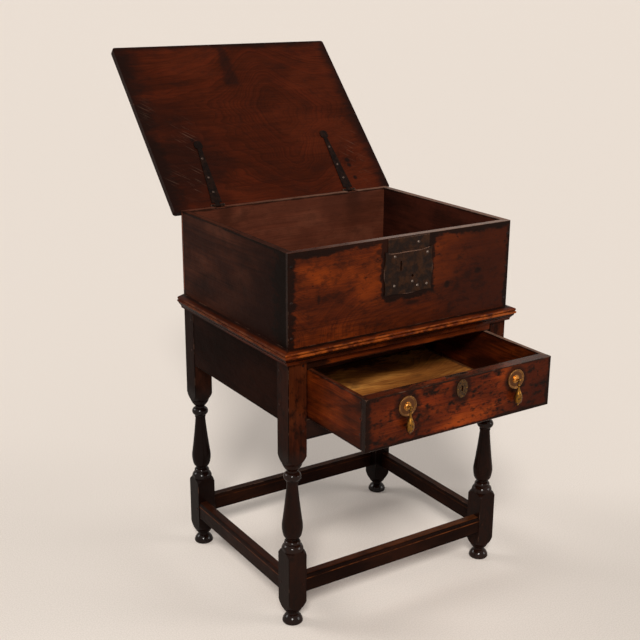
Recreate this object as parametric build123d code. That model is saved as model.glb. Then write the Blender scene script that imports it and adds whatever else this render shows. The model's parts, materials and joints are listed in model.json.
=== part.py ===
"""Bible box on stand: a boarded oak box with a strap-hinged lid, fixed on a joined stand
with one drawer, turned baluster legs and a low box stretcher.

Millimetres, +Z up, +Y to the back.  The origin is on the floor, at the middle of the four feet.
The lid stands thrown back on its stop and the drawer is partly drawn out.
"""
import os
from math import cos, radians, sin, sqrt

from build123d import *

# ---------------------------------------------------------------- overall sizes
WIDTH = 600.0            # box and stand, left to right
DEPTH = 490.0            # box and stand, front to back
FRAME_TOP = 648.0        # top of the legs, where the box is set down
BOX_HEIGHT = 224.0       # box, from its floor board's underside to the top edges
ARRIS = 1.0              # worn-off edge of the joiner's work

# ---------------------------------------------------------------- turned legs
LEG = 47.0               # square stock
PAST_CORNER = 1.0        # how far the turned outline stands outside the square's corners
FOOT_BASE_R = 18.5
FOOT_R = 23.5            # fullest low down
FOOT_LOW = 5.0
FOOT_HIGH = 17.0         # from there up to the ankle
FOOT_HIGH_R = 20.5       # halfway
ANKLE_R = 12.0
ANKLE = 4.0
LOWER_BEAD_R = 21.5      # bead the lower square's end is rounded down to
LOWER_BEAD = 10.0
LOWER_SLOPE = 25.0       # from that bead out to the square's corners
UPPER_BEAD_R = 23.0
UPPER_BEAD = 18.0
UPPER_SLOPE = 24.0
QUIRK_IN = 0.8           # small step between a bead and the slope beyond it
BULGE = 2.0              # fullness of the beads and slopes beyond a straight run
LOWER_BLOCK = 106.0      # length left square for the stretchers
CAP = 15.0               # rounded top of the lower square
CAP_R = 26.0
WIDE_RING_R = 24.5
WIDE_RING = 17.0
GROOVE_R = 17.5          # between the two rings
SMALL_RING_R = 18.5
SMALL_RING = 9.0
WAIST_R = 11.5
WAIST = 4.0
BELLY_LOW_R = 20.5       # hollow flare from the waist out to the belly
FLARE = 9.0
BELLY_R = 23.6
BELLY = 35.0             # full part of the baluster
BELLY_TOP_R = 22.4
STEM_R = 12.0
STEM = 92.0              # long slightly hollow taper up the stem
STEM_MIDDLE_R = 16.6
FILLET_R = 13.4
FILLET = 6.0
RING_R = 20.0
RING = 20.0
NECK_R = 11.5
NECK = 4.0

# ---------------------------------------------------------------- frame members
TENON_LENGTH = 20.0
TENON_THICKNESS = 8.0
TENON_SHOULDER = 5.0     # cut off the top and bottom of each tenon
RAIL_THICKNESS = 22.0
RAIL_SETBACK = 1.0       # rails and friezes lie this far behind the leg faces
LOWER_RAIL_DROP = 196.0  # frame top down to the underside of the rail below the drawer
LOWER_RAIL = 47.0
TOP_RAIL = 33.5
FRIEZE_THICKNESS = 18.0
FRIEZE = 154.0
STRETCHER_RISE = 19.0    # start of the lower square up to the stretchers' underside
STRETCHER = 42.0
STRETCHER_THICKNESS = 22.0
STRETCHER_SETBACK = 2.0
STRETCHER_ROUND = 6.0    # scratch-moulded round on the upper outer edge
QUIRK = 3.0              # sunk line below that round
PEG = 6.4                # across the corners of an eight-sided oak peg
PEG_LENGTH = 24.0
PEG_PROUD = 0.6
RUNNER_WIDTH = 28.0
RUNNER_HEIGHT = 20.0
GUIDE_HEIGHT = 20.0
KICKER_WIDTH = 18.0
KICKER_HEIGHT = 18.0

# ---------------------------------------------------------------- waist moulding
MOULDING_DROP = 15.0     # below the frame top
MOULDING_HEIGHT = 33.0
MOULDING_OUT = 18.0      # projection of the nose
OVOLO_OUT = 11.5
OVOLO = 8.5              # rounded lower member
OVOLO_BACK = 4.0         # its foot behind its top
HOLLOW = 7.0             # hollow between the ovolo and the beads
HOLLOW_BACK = 2.0        # its foot behind the ovolo
BEAD = 6.9               # diameter of each of the two nose beads

# ---------------------------------------------------------------- box
BOARD = 16.0             # front, back and sides
BOX_FLOOR = 10.0
REBATE = 8.0             # how far a side board is let into the front and back boards
NAIL_SHANK = 2.6
NAIL_LENGTH = 26.0
NAIL_HEAD = 7.5
NAIL_HEAD_HEIGHT = 1.6
NAILS_PER_CORNER = 3
NAIL_END = 30.0          # first and last nail from the board's ends

# ---------------------------------------------------------------- lid and hinges
LID_THICKNESS = 18.0
LID_SIDE_OVERHANG = 15.0
LID_FRONT_SHORT = 7.0    # the lid board has shrunk a little behind the box's face
LID_CORNER = 7.0
LID_OPEN = 133.0         # degrees from shut to the stop
LID_GAP = 0.3
STOP_GAP = 0.3
KNUCKLE_R = 4.0
KNUCKLE_BACK = 4.3       # pin behind the box's back face
PIN_R = 1.7
PIN_PLAY = 0.05
PIN_HEAD = 1.0
STRAP_PLATE = 2.0
STRAP_LENGTH = 180.0
STRAP_WIDTH = 27.0
STRAP_TIP_WIDTH = 11.0
STRAP_FINIAL_R = 11.0
LEFT_STRAP_INSET = 101.0  # from the box's left end; the smith set the two hinges by eye
LEFT_STRAP_LEAN = 11.0   # its tip stands this far to the right of its root
RIGHT_STRAP_INSET = 115.0
RIGHT_STRAP_LEAN = -1.0
STRAP_NAILS = (30.0, 72.0, 128.0)
LEAF_HEIGHT = 62.0
MID_KNUCKLE = 13.0
END_KNUCKLE = 11.0
KNUCKLE_PLAY = 0.4
HOUSING_PLAY = 0.8       # room round the knuckles in the lid and under the strap
IRON_NAIL_LENGTH = 13.0

# ---------------------------------------------------------------- box lock
PLATE_WIDTH = 128.0
PLATE_HEIGHT = 98.0
PLATE_THICKNESS = 2.4
PLATE_X = 7.0            # centre of the plate, right of the middle
PLATE_TOP = 30.0         # below the box's top edge
PLATE_WAVE = 4.0         # swell of the plate's outline
PLATE_DIP = 0.4          # dips beside the swell, as a share of it
PLATE_NAIL_IN = 13.0     # nails from the plate's edges
TAB_WIDTH = 112.0
TAB_THICKNESS = 1.2
TAB_TOP = 2.0            # below the box's top edge
KEYHOLE_WIDTH = 4.0
KEYHOLE_HEIGHT = 23.0
KEYHOLE_X = -21.0        # from the plate's centre
KEYHOLE_DROP = 65.0      # box's top edge to the keyhole's centre
STAPLE_HOLE = 6.0
STAPLE_X = 11.0          # from the plate's centre
STAPLE_DROP = 91.0
LOCK_WIDTH = 92.0
LOCK_HEIGHT = 64.0
LOCK_THICKNESS = 14.0
LOCK_SUNK = 4.0          # let into the board's inner face
LOCK_WALL = 2.0
BOLT_LENGTH = 48.0
BOLT_HEIGHT = 13.0
BOLT_THICKNESS = 5.0
BOLT_TRAVEL = 14.0
FIT = 0.3                # clearance round sliding pieces

# ---------------------------------------------------------------- drawer
DRAWN = 210.0            # how far the drawer stands out
DRAWER_SIDE_PLAY = 5.0   # between the drawer and each leg
DRAWER_TOP_PLAY = 1.5
FRONT_THICKNESS = 26.0
FRONT_LIP = 14.0         # front board left outside the drawer sides' ends
SIDE_THICKNESS = 10.0
DRAWER_LENGTH = 440.0
DRAWER_BACK = 10.0
DRAWER_FLOOR = 8.0
FLOOR_RAISE = 2.0
BACK_DROP = 8.0          # back board lower than the sides
GUIDE_PLAY = 1.0

# ---------------------------------------------------------------- drawer furniture
HANDLE_X = 146.0
HANDLE_DROP = 33.0       # drawer's top edge to the handle's centre
ROSE_R = 22.0
ROSE_THICKNESS = 1.8
ROSE_RIM = 2.4
ROSE_DISH = 0.7
ROSE_BOSS_R = 7.0
ROSE_SHOULDER = 3.5      # height of the boss's edge
ROSE_CROWN_R = 5.4
ROSE_BOSS = 5.6
WIRE_R = 1.0
WIRE_OUT = 11.5          # cross bar in front of the drawer's face
WIRE_HALF = 3.4
WIRE_TAIL = 12.0
EYE_R = 3.2
EYE_WIDTH = 4.0
EYE_PLAY = 0.3
PEAR_R = 8.8
PEAR_START = 9.0         # below the eye's centre
PEAR_FULL = 39.0
PEAR_END = 54.0
DROP_TIP_R = 1.9
SCUTCHEON_WIDTH = 30.0
SCUTCHEON_HEIGHT = 41.0
SCUTCHEON_THICKNESS = 1.5
SCUTCHEON_X = -4.0
SCUTCHEON_DROP = 24.0
SCUTCHEON_KEYHOLE = 13.0
SCUTCHEON_PIN_R = 1.1
PIN_PROUD = 0.6
DRAWER_LOCK_WIDTH = 60.0
DRAWER_LOCK_HEIGHT = 40.0
DRAWER_LOCK_THICKNESS = 12.0
DRAWER_BOLT_WIDTH = 22.0
DRAWER_BOLT_HEIGHT = 20.0
DRAWER_BOLT_THICKNESS = 4.0
DRAWER_BOLT_TRAVEL = 9.0
DRAWER_BOLT_INSET = 4.0  # behind the lock's front
KEY_ROOM = 14.0          # between the ledges the drawer's bolt rests on
DRAWER_NAIL_PARTS = (0.3, 0.6, 0.9)  # of the drawer's height
FINE_SHANK = 1.8         # the drawer's smaller nails
FINE_LENGTH = 18.0
FINE_HEAD = 5.2
FINE_HEAD_HEIGHT = 1.1

# ---------------------------------------------------------------- places worked out from the sizes
HALF_W = WIDTH / 2
HALF_D = DEPTH / 2
BOX_TOP = FRAME_TOP + BOX_HEIGHT
WALL_FOOT = FRAME_TOP + BOX_FLOOR
LEG_X = HALF_W - LEG / 2
LEG_Y = HALF_D - LEG / 2
INNER_X = HALF_W - LEG                      # inner faces of the legs
INNER_Y = HALF_D - LEG
SQUARE_START = FOOT_LOW + FOOT_HIGH + ANKLE + LOWER_BEAD + LOWER_SLOPE
STRETCHER_Z = SQUARE_START + STRETCHER_RISE
LOWER_RAIL_Z = FRAME_TOP - LOWER_RAIL_DROP
RUN_Z = LOWER_RAIL_Z + LOWER_RAIL           # running surface of the drawer
TOP_RAIL_Z = FRAME_TOP - TOP_RAIL
FRIEZE_Z = FRAME_TOP - FRIEZE
RAIL_Y = HALF_D - RAIL_SETBACK              # outer face of rails and back frieze
RAIL_INNER_Y = RAIL_Y - RAIL_THICKNESS
FRIEZE_INNER_Y = RAIL_Y - FRIEZE_THICKNESS
PIVOT_Y = HALF_D + KNUCKLE_BACK
PIVOT_Z = BOX_TOP + LID_GAP                 # pin level with the lid's underside
STRAP_ROOT_Y = HALF_D - BOARD / 4           # straps start over the back board
LID_REAR = PIVOT_Y + (KNUCKLE_BACK - STOP_GAP) / sin(radians(LID_OPEN - 90))
LID_FRONT = -HALF_D + LID_FRONT_SHORT
LEAF_WIDTH = MID_KNUCKLE + 2 * (END_KNUCKLE + KNUCKLE_PLAY)
DRAWER_HALF = INNER_X - DRAWER_SIDE_PLAY
DRAWER_Z = RUN_Z + FIT
DRAWER_TOP = TOP_RAIL_Z - DRAWER_TOP_PLAY
HANDLE_Z = DRAWER_TOP - HANDLE_DROP
SCUTCHEON_Z = DRAWER_TOP - SCUTCHEON_DROP
FACE_Y = -HALF_D                            # drawer's face when it is shut

HINGES = {
    "left": (-HALF_W + LEFT_STRAP_INSET, LEFT_STRAP_LEAN),
    "right": (HALF_W - RIGHT_STRAP_INSET, RIGHT_STRAP_LEAN),
}

parts = {}


# ---------------------------------------------------------------- helpers
def block(x, y, z):
    """A box from three (low, high) spans."""
    spans = (x, y, z)
    middle = [(lo + hi) / 2 for lo, hi in spans]
    size = [hi - lo for lo, hi in spans]
    return Pos(*middle) * Box(*size)


def eased(board, axis, amount=ARRIS):
    """The board with its edges along one axis worn off."""
    return chamfer(board.edges().filter_by(axis), amount)


def outline_solid(edges, plane, depth):
    """A closed outline drawn on a plane, made into a plate of the given depth."""
    return extrude(plane * make_face(edges), depth)


def both_sides(shape):
    """The shape and its mirror image across the middle of the piece of furniture."""
    return [shape, mirror(shape, Plane.YZ)]


def corner_signs():
    """Left or right and front or back, once for each of the four corners."""
    return [(sx, sy) for sy in (-1, 1) for sx in (-1, 1)]


def nail(shank=NAIL_SHANK, length=NAIL_LENGTH, head=NAIL_HEAD, rise=NAIL_HEAD_HEIGHT):
    """Hand-forged nail along +Z: square shank below zero, faceted rose head above."""
    rose = extrude(RegularPolygon(head / 2, 6), rise, taper=50)
    return rose + Pos(0, 0, -length / 2) * Box(shank, shank, length)


def nail_hole(shank=NAIL_SHANK, length=NAIL_LENGTH):
    """The hole that the nail's shank fills, along -Z from zero."""
    return Pos(0, 0, -length / 2) * Box(shank, shank, length)


# ---------------------------------------------------------------- joints of the stand
def rail_tenons(y_mid, z_low, height):
    """Tenons at both ends of a member that runs left to right."""
    half = TENON_THICKNESS / 2
    z = (z_low + TENON_SHOULDER, z_low + height - TENON_SHOULDER)
    right = block((INNER_X, INNER_X + TENON_LENGTH), (y_mid - half, y_mid + half), z)
    return both_sides(right)


def side_tenons(x_mid, z_low, height):
    """Tenons at both ends of a member that runs front to back."""
    half = TENON_THICKNESS / 2
    z = (z_low + TENON_SHOULDER, z_low + height - TENON_SHOULDER)
    back = block((x_mid - half, x_mid + half), (INNER_Y, INNER_Y + TENON_LENGTH), z)
    return [back, mirror(back, Plane.XZ)]


def frame_tenons():
    """Every tenon of the stand, so that members and mortises share one size."""
    rail_mid = RAIL_Y - RAIL_THICKNESS / 2
    frieze_mid = RAIL_SETBACK + FRIEZE_THICKNESS / 2
    low_mid = STRETCHER_SETBACK + STRETCHER_THICKNESS / 2
    return {
        "top_rail": rail_tenons(-rail_mid, TOP_RAIL_Z, TOP_RAIL),
        "lower_rail": rail_tenons(-rail_mid, LOWER_RAIL_Z, LOWER_RAIL),
        "frieze_back": rail_tenons(HALF_D - frieze_mid, FRIEZE_Z, FRIEZE),
        "frieze_left": side_tenons(-HALF_W + frieze_mid, FRIEZE_Z, FRIEZE),
        "frieze_right": side_tenons(HALF_W - frieze_mid, FRIEZE_Z, FRIEZE),
        "stretcher_front": rail_tenons(-HALF_D + low_mid, STRETCHER_Z, STRETCHER),
        "stretcher_back": rail_tenons(HALF_D - low_mid, STRETCHER_Z, STRETCHER),
        "stretcher_left": side_tenons(-HALF_W + low_mid, STRETCHER_Z, STRETCHER),
        "stretcher_right": side_tenons(HALF_W - low_mid, STRETCHER_Z, STRETCHER),
    }


TENONS = frame_tenons()


def peg_shape(length):
    """Eight-sided peg along +Z from zero."""
    return extrude(RegularPolygon(PEG / 2, 8), length)


def peg_places():
    """Where the pegs are driven: from the front and back faces, and from the side faces."""
    reach = TENON_LENGTH / 2
    frieze_step = FRIEZE / 4
    frieze_mid = FRIEZE_Z + FRIEZE / 2
    stretcher_mid = STRETCHER_Z + STRETCHER / 2
    side_heights = (frieze_mid - frieze_step, frieze_mid + frieze_step, stretcher_mid)
    top_rail_seen = TOP_RAIL - MOULDING_DROP
    rail_heights = (LOWER_RAIL_Z + LOWER_RAIL / 2, TOP_RAIL_Z + top_rail_seen / 2)
    front_heights = (*rail_heights, stretcher_mid)
    places = []
    for sx, sy in corner_signs():
        heights = front_heights if sy < 0 else side_heights
        for z in heights:
            inward = Vector(0, -sy, 0)
            places.append(Plane((sx * (INNER_X + reach), sy * HALF_D, z), (1, 0, 0), inward))
        for z in side_heights:
            inward = Vector(-sx, 0, 0)
            places.append(Plane((sx * HALF_W, sy * (INNER_Y + reach), z), (0, 1, 0), inward))
    return places


PEG_PLACES = peg_places()
PEG_HOLES = [place * peg_shape(PEG_LENGTH) for place in PEG_PLACES]


def frame_pegs():
    """All the pegs, each a little proud of the leg's face."""
    peg = Pos(0, 0, -PEG_PROUD) * peg_shape(PEG_LENGTH + PEG_PROUD)
    return [place * peg for place in PEG_PLACES]


# ---------------------------------------------------------------- legs
def turned_outline():
    """Half outline of the turning, as (radius, height), from the floor to the frame's top."""
    corner = LEG / sqrt(2) + PAST_CORNER
    edges = []
    here = Vector(0, 0)

    def line(r, rise=0.0):
        nonlocal here
        there = Vector(r, here.Y + rise)
        edges.append(Line(here, there))
        here = there

    def curve(r, rise, through, part=0.5):
        nonlocal here
        there = Vector(r, here.Y + rise)
        edges.append(ThreePointArc(here, (through, here.Y + rise * part), there))
        here = there

    def bulge(r, rise):
        """A shallow convex run from here to the next radius."""
        curve(r, rise, (here.X + r) / 2 + BULGE)

    line(FOOT_BASE_R)
    bulge(FOOT_R, FOOT_LOW)
    curve(ANKLE_R, FOOT_HIGH, FOOT_HIGH_R)
    line(ANKLE_R, ANKLE)
    bulge(LOWER_BEAD_R, LOWER_BEAD)
    line(LOWER_BEAD_R - QUIRK_IN)
    bulge(corner, LOWER_SLOPE)
    line(corner, LOWER_BLOCK)
    bulge(CAP_R, CAP)
    line(CAP_R - 2 * QUIRK_IN)
    curve(GROOVE_R, WIDE_RING, WIDE_RING_R, 0.4)
    curve(WAIST_R, SMALL_RING, SMALL_RING_R)
    line(WAIST_R, WAIST)
    bulge(BELLY_LOW_R, FLARE)
    curve(BELLY_TOP_R, BELLY, BELLY_R)
    curve(STEM_R, STEM, STEM_MIDDLE_R)
    line(FILLET_R)
    line(FILLET_R, FILLET)
    curve(NECK_R, RING, RING_R)
    line(NECK_R, NECK)
    bulge(UPPER_BEAD_R, UPPER_BEAD)
    line(UPPER_BEAD_R - QUIRK_IN)
    bulge(corner, UPPER_SLOPE)
    line(corner, FRAME_TOP - here.Y)
    line(0)
    edges.append(Line(here, (0, 0)))
    return edges


def leg(sx, sy):
    """One leg: square stock, turned between the squares, mortised and bored for its pegs."""
    turning = revolve(Plane.XZ * make_face(turned_outline()), Axis.Z)
    stock = eased(Pos(0, 0, FRAME_TOP / 2) * Box(LEG, LEG, FRAME_TOP), Axis.Z)
    shaped = Pos(sx * LEG_X, sy * LEG_Y, 0) * (stock & turning)
    cuts = [tenon for pair in TENONS.values() for tenon in pair] + PEG_HOLES
    return shaped - [cut for cut in cuts if cut.center().X * sx > 0 and cut.center().Y * sy > 0]


def legs():
    names = {(-1, -1): "leg_front_left", (1, -1): "leg_front_right"}
    names.update({(-1, 1): "leg_back_left", (1, 1): "leg_back_right"})
    for sx, sy in corner_signs():
        parts[names[sx, sy]] = leg(sx, sy)


# ---------------------------------------------------------------- rails, friezes, stretchers
def pegged(board, tenons):
    """A member with its tenons on and the peg holes bored through them."""
    return board + tenons - PEG_HOLES


def front_rails():
    spans = {"top_rail": (TOP_RAIL_Z, TOP_RAIL), "lower_rail": (LOWER_RAIL_Z, LOWER_RAIL)}
    for name, (z_low, height) in spans.items():
        board = block((-INNER_X, INNER_X), (-RAIL_Y, -RAIL_INNER_Y), (z_low, z_low + height))
        parts[name] = pegged(eased(board, Axis.X), TENONS[name])
    parts["top_rail"] -= drawer_bolt_mortise()


def friezes():
    z = (FRIEZE_Z, FRAME_TOP)
    back = block((-INNER_X, INNER_X), (FRIEZE_INNER_Y, RAIL_Y), z)
    parts["frieze_back"] = pegged(eased(back, Axis.X), TENONS["frieze_back"])
    outer = HALF_W - RAIL_SETBACK
    left = eased(block((-outer, -outer + FRIEZE_THICKNESS), (-INNER_Y, INNER_Y), z), Axis.Y)
    for name, board in zip(("frieze_left", "frieze_right"), both_sides(left)):
        parts[name] = pegged(board, TENONS[name])


def stretcher_bar(length):
    """Low rail along X, outer face towards -Y at zero, its upper outer edge scratch-moulded."""
    top = STRETCHER
    foot_of_round = top - STRETCHER_ROUND
    edges = [
        Line((0, 0), (STRETCHER_THICKNESS, 0)),
        Line((STRETCHER_THICKNESS, 0), (STRETCHER_THICKNESS, top)),
        Line((STRETCHER_THICKNESS, top), (STRETCHER_ROUND, top)),
        RadiusArc((STRETCHER_ROUND, top), (0, foot_of_round), -STRETCHER_ROUND),
        Line((0, foot_of_round), (QUIRK / 2, foot_of_round - QUIRK / 2)),
        Line((QUIRK / 2, foot_of_round - QUIRK / 2), (0, foot_of_round - QUIRK)),
        Line((0, foot_of_round - QUIRK), (0, 0)),
    ]
    return Pos(-length / 2, 0, 0) * outline_solid(edges, Plane.YZ, length)


def stretchers():
    across = stretcher_bar(2 * INNER_X)
    along = stretcher_bar(2 * INNER_Y)
    out_x = HALF_W - STRETCHER_SETBACK
    out_y = HALF_D - STRETCHER_SETBACK
    placed = {
        "stretcher_front": Pos(0, -out_y, STRETCHER_Z) * across,
        "stretcher_back": Pos(0, out_y, STRETCHER_Z) * Rot(0, 0, 180) * across,
        "stretcher_left": Pos(-out_x, 0, STRETCHER_Z) * Rot(0, 0, -90) * along,
        "stretcher_right": Pos(out_x, 0, STRETCHER_Z) * Rot(0, 0, 90) * along,
    }
    for name, bar in placed.items():
        parts[name] = pegged(bar, TENONS[name])


def drawer_ways():
    """Runners under the drawer's sides, guides beside them and kickers above them."""
    y = (-RAIL_INNER_Y, FRIEZE_INNER_Y)
    inner = INNER_X - RUNNER_WIDTH
    runner = block((-INNER_X, -inner), y, (RUN_Z - RUNNER_HEIGHT, RUN_Z))
    guide = block((-INNER_X, -DRAWER_HALF - GUIDE_PLAY), y, (RUN_Z, RUN_Z + GUIDE_HEIGHT))
    kicker = block((-INNER_X, -INNER_X + KICKER_WIDTH), y, (TOP_RAIL_Z, TOP_RAIL_Z + KICKER_HEIGHT))
    for name, bar in (("runner", runner), ("guide", guide), ("kicker", kicker)):
        parts[name + "_left"], parts[name + "_right"] = both_sides(bar)


# ---------------------------------------------------------------- waist moulding
def moulding_outline():
    """Section as (projection, height above the moulding's underside)."""
    r = BEAD / 2
    foot = OVOLO_OUT - OVOLO_BACK
    inner = OVOLO_OUT - HOLLOW_BACK
    beads = OVOLO + HOLLOW                  # underside of the lower bead
    back = MOULDING_OUT - r                 # the beads' ends
    top = beads + 2 * BEAD
    return [
        Line((0, 0), (foot, 0)),
        RadiusArc((foot, 0), (OVOLO_OUT, OVOLO), OVOLO),
        Line((OVOLO_OUT, OVOLO), (inner, OVOLO)),
        RadiusArc((inner, OVOLO), (back, beads), -HOLLOW),
        ThreePointArc((back, beads), (MOULDING_OUT, beads + r), (back, beads + BEAD)),
        ThreePointArc((back, beads + BEAD), (MOULDING_OUT - ARRIS, top - r), (back - ARRIS, top)),
        Line((back - ARRIS, top), (0, MOULDING_HEIGHT)),
        Line((0, MOULDING_HEIGHT), (0, 0)),
    ]


def moulding_length(length, mitred_ends):
    """A length of moulding along X, face towards -Y, against the plane y = 0."""
    reach = length / 2 + MOULDING_OUT * 2
    outline = Plane(origin=(-reach, 0, 0), x_dir=(0, -1, 0), z_dir=(-1, 0, 0))
    section = [outline * e for e in moulding_outline()]
    bar = extrude(make_face(section), 2 * reach, dir=(1, 0, 0))
    for side in (-1, 1):
        end = Vector(side * length / 2, 0, 0)
        across = (side, 1, 0) if side in mitred_ends else (side, 0, 0)
        bar = split(bar, Plane(end, z_dir=across), keep=Keep.BOTTOM)
    return bar


def mouldings():
    z = FRAME_TOP - MOULDING_DROP
    parts["moulding_front"] = Pos(0, -HALF_D, z) * moulding_length(WIDTH, (-1, 1))
    left = Pos(-HALF_W, 0, z) * Rot(0, 0, -90) * moulding_length(DEPTH, (1,))
    parts["moulding_left"], parts["moulding_right"] = both_sides(left)


# ---------------------------------------------------------------- box
def corner_nail_places(board_y, outward):
    """Planes of the nails that hold a front or back board to the side boards."""
    step = (BOX_TOP - WALL_FOOT - 2 * NAIL_END) / (NAILS_PER_CORNER - 1)
    x = HALF_W - BOARD / 2
    return [
        Plane((side * x, board_y, WALL_FOOT + NAIL_END + i * step), (1, 0, 0), (0, outward, 0))
        for side in (-1, 1)
        for i in range(NAILS_PER_CORNER)
    ]


NAIL_PLACES = corner_nail_places(-HALF_D, -1) + corner_nail_places(HALF_D, 1)


def end_board(sy):
    """Front (-1) or back (+1) board, rebated for the side boards."""
    outer = sy * HALF_D
    inner = sy * (HALF_D - BOARD)
    seat = sy * (HALF_D - REBATE)
    board = eased(block((-HALF_W, HALF_W), sorted((outer, inner)), (WALL_FOOT, BOX_TOP)), Axis.Z)
    rebate = block((HALF_W - BOARD, HALF_W + 1), sorted((inner, seat)), (WALL_FOOT, BOX_TOP))
    return board - both_sides(rebate)


def box_boards():
    holes = [place * nail_hole() for place in NAIL_PLACES]
    seat = HALF_D - REBATE
    left = block((-HALF_W, -HALF_W + BOARD), (-seat, seat), (WALL_FOOT, BOX_TOP))
    front = end_board(-1) - holes - lock_cuts_in_front()
    back = end_board(1) - holes - hinge_cuts_in_back()
    parts["box_front"] = front
    parts["box_back"] = back
    for name, side in zip(("box_left", "box_right"), both_sides(left)):
        parts[name] = side - holes
    parts["box_floor"] = block((-HALF_W, HALF_W), (-HALF_D, HALF_D), (FRAME_TOP, WALL_FOOT))
    parts["box_nails"] = [place * nail() for place in NAIL_PLACES]


# ---------------------------------------------------------------- box lock
def plate_wave(start, end, out):
    """One edge of the hand-cut plate: a shallow swell with a dip at each end."""
    a, b = Vector(*start), Vector(*end)
    way = b - a
    side = Vector(way.Y, -way.X).normalized() * out
    dip = side * PLATE_DIP
    return Spline(a, a + way / 4 - dip, a + way / 2 + side, b - way / 4 - dip, b)


PLATE_Z = BOX_TOP - PLATE_TOP - PLATE_HEIGHT / 2
KEYHOLE = (PLATE_X + KEYHOLE_X, BOX_TOP - KEYHOLE_DROP)
STAPLE = (PLATE_X + STAPLE_X, BOX_TOP - STAPLE_DROP)
LOCK_X = PLATE_X
LOCK_Z = (KEYHOLE[1] + STAPLE[1]) / 2
BOARD_INNER_Y = -HALF_D + BOARD
LOCK_FRONT_Y = BOARD_INNER_Y - LOCK_SUNK
LOCK_BACK_Y = LOCK_FRONT_Y + LOCK_THICKNESS


def keyhole_cut(x, z, height, y):
    """A slot with round ends, cut from front to back over the span y."""
    slot = SlotOverall(height, KEYHOLE_WIDTH, rotation=90)
    return Pos(x, y[1], z) * extrude(Plane.XZ * slot, y[1] - y[0])


def plate_nail_places():
    """Seven nails, set by eye as the smith did."""
    near = PLATE_NAIL_IN
    left = PLATE_X - PLATE_WIDTH / 2 + near * 2
    right = PLATE_X + PLATE_WIDTH / 2 - near
    top = PLATE_Z + PLATE_HEIGHT / 2 - near
    low = PLATE_Z - PLATE_HEIGHT / 2 + near
    spots = [(left, top), (left, low + near / 2), (right, top), (right, low), (right - near * 2, low)]
    spots.append((STAPLE[0], STAPLE[1] - near))
    spots.append((PLATE_X + near * 2, BOX_TOP - PLATE_TOP / 2 - TAB_TOP))
    return spots


def plate_nail_planes():
    """The nails' planes, on the main plate or on the thinner tab above it."""
    planes = []
    for x, z in plate_nail_places():
        on_tab = z > PLATE_Z + PLATE_HEIGHT / 2
        out = TAB_THICKNESS if on_tab else PLATE_THICKNESS
        planes.append(Plane((x, -HALF_D - out, z), (1, 0, 0), (0, -1, 0)))
    return planes


def short_nail():
    return nail(length=IRON_NAIL_LENGTH)


def short_hole():
    return nail_hole(length=IRON_NAIL_LENGTH)


def lock_pocket():
    """Where the lock is let into the board's inner face."""
    x = (LOCK_X - LOCK_WIDTH / 2, LOCK_X + LOCK_WIDTH / 2)
    z = (LOCK_Z - LOCK_HEIGHT / 2, LOCK_Z + LOCK_HEIGHT / 2)
    return block(x, (LOCK_FRONT_Y, LOCK_BACK_Y), z)


def staple_cut():
    hole = extrude(Plane.XZ * Circle(STAPLE_HOLE / 2), BOARD + PLATE_THICKNESS)
    return Pos(STAPLE[0], BOARD_INNER_Y, STAPLE[1]) * hole


def lock_cuts_in_front():
    key = keyhole_cut(*KEYHOLE, KEYHOLE_HEIGHT, (-HALF_D, BOARD_INNER_Y))
    cuts = [lock_pocket(), key, staple_cut()]
    return cuts + [plane * short_hole() for plane in plate_nail_planes()]


def lock_plate():
    """Hand-cut iron plate with a wavy outline and a thinner tab above it."""
    w, h = PLATE_WIDTH / 2, PLATE_HEIGHT / 2
    corners = [(-w, -h), (w, -h), (w, h), (-w, h)]
    edges = [plate_wave(a, b, PLATE_WAVE / 2) for a, b in zip(corners, corners[1:] + corners[:1])]
    face = Plane((PLATE_X, -HALF_D, PLATE_Z), x_dir=(1, 0, 0), z_dir=(0, -1, 0))
    plate = extrude(face * make_face(edges), PLATE_THICKNESS)
    tab_x = (PLATE_X - TAB_WIDTH / 2, PLATE_X + TAB_WIDTH / 2)
    tab = block(tab_x, (-HALF_D - TAB_THICKNESS, -HALF_D), (PLATE_Z, BOX_TOP - TAB_TOP))
    slot = keyhole_cut(*KEYHOLE, KEYHOLE_HEIGHT, (-HALF_D - PLATE_THICKNESS, -HALF_D))
    holes = [plane * short_hole() for plane in plate_nail_planes()]
    return plate + tab - slot - staple_cut() - holes


def box_lock():
    """Lock case on the inner face, open to the board, with its sliding bolt on a ledge."""
    shell = lock_pocket()
    w = LOCK_WALL
    x = (LOCK_X - LOCK_WIDTH / 2 + w, LOCK_X + LOCK_WIDTH / 2 - w)
    z = (LOCK_Z - LOCK_HEIGHT / 2 + w, LOCK_Z + LOCK_HEIGHT / 2 - w)
    hollow = block(x, (LOCK_FRONT_Y, LOCK_BACK_Y - w), z)
    bolt_low = STAPLE[1] - BOLT_HEIGHT / 2
    ledge = block(x, (LOCK_FRONT_Y, LOCK_BACK_Y - w), (z[0], bolt_low - FIT))
    parts["box_lock_case"] = shell - hollow + ledge
    bolt_end = STAPLE[0] - STAPLE_HOLE / 2 - 1
    bolt_y = (LOCK_BACK_Y - w - FIT - BOLT_THICKNESS, LOCK_BACK_Y - w - FIT)
    bolt = block((bolt_end - BOLT_LENGTH, bolt_end), bolt_y, (bolt_low, bolt_low + BOLT_HEIGHT))
    parts["box_lock_bolt"] = eased(bolt, Axis.Y, 2 * ARRIS)
    parts["lock_plate"] = lock_plate()
    parts["lock_plate_nails"] = [plane * short_nail() for plane in plate_nail_planes()]


# ---------------------------------------------------------------- lid and strap hinges
def knuckle(x_low, x_high, radius):
    """A round length on the hinge line."""
    barrel = extrude(Plane.YZ * Circle(radius), x_high - x_low)
    return Pos(x_low, PIVOT_Y, PIVOT_Z) * barrel


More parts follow.
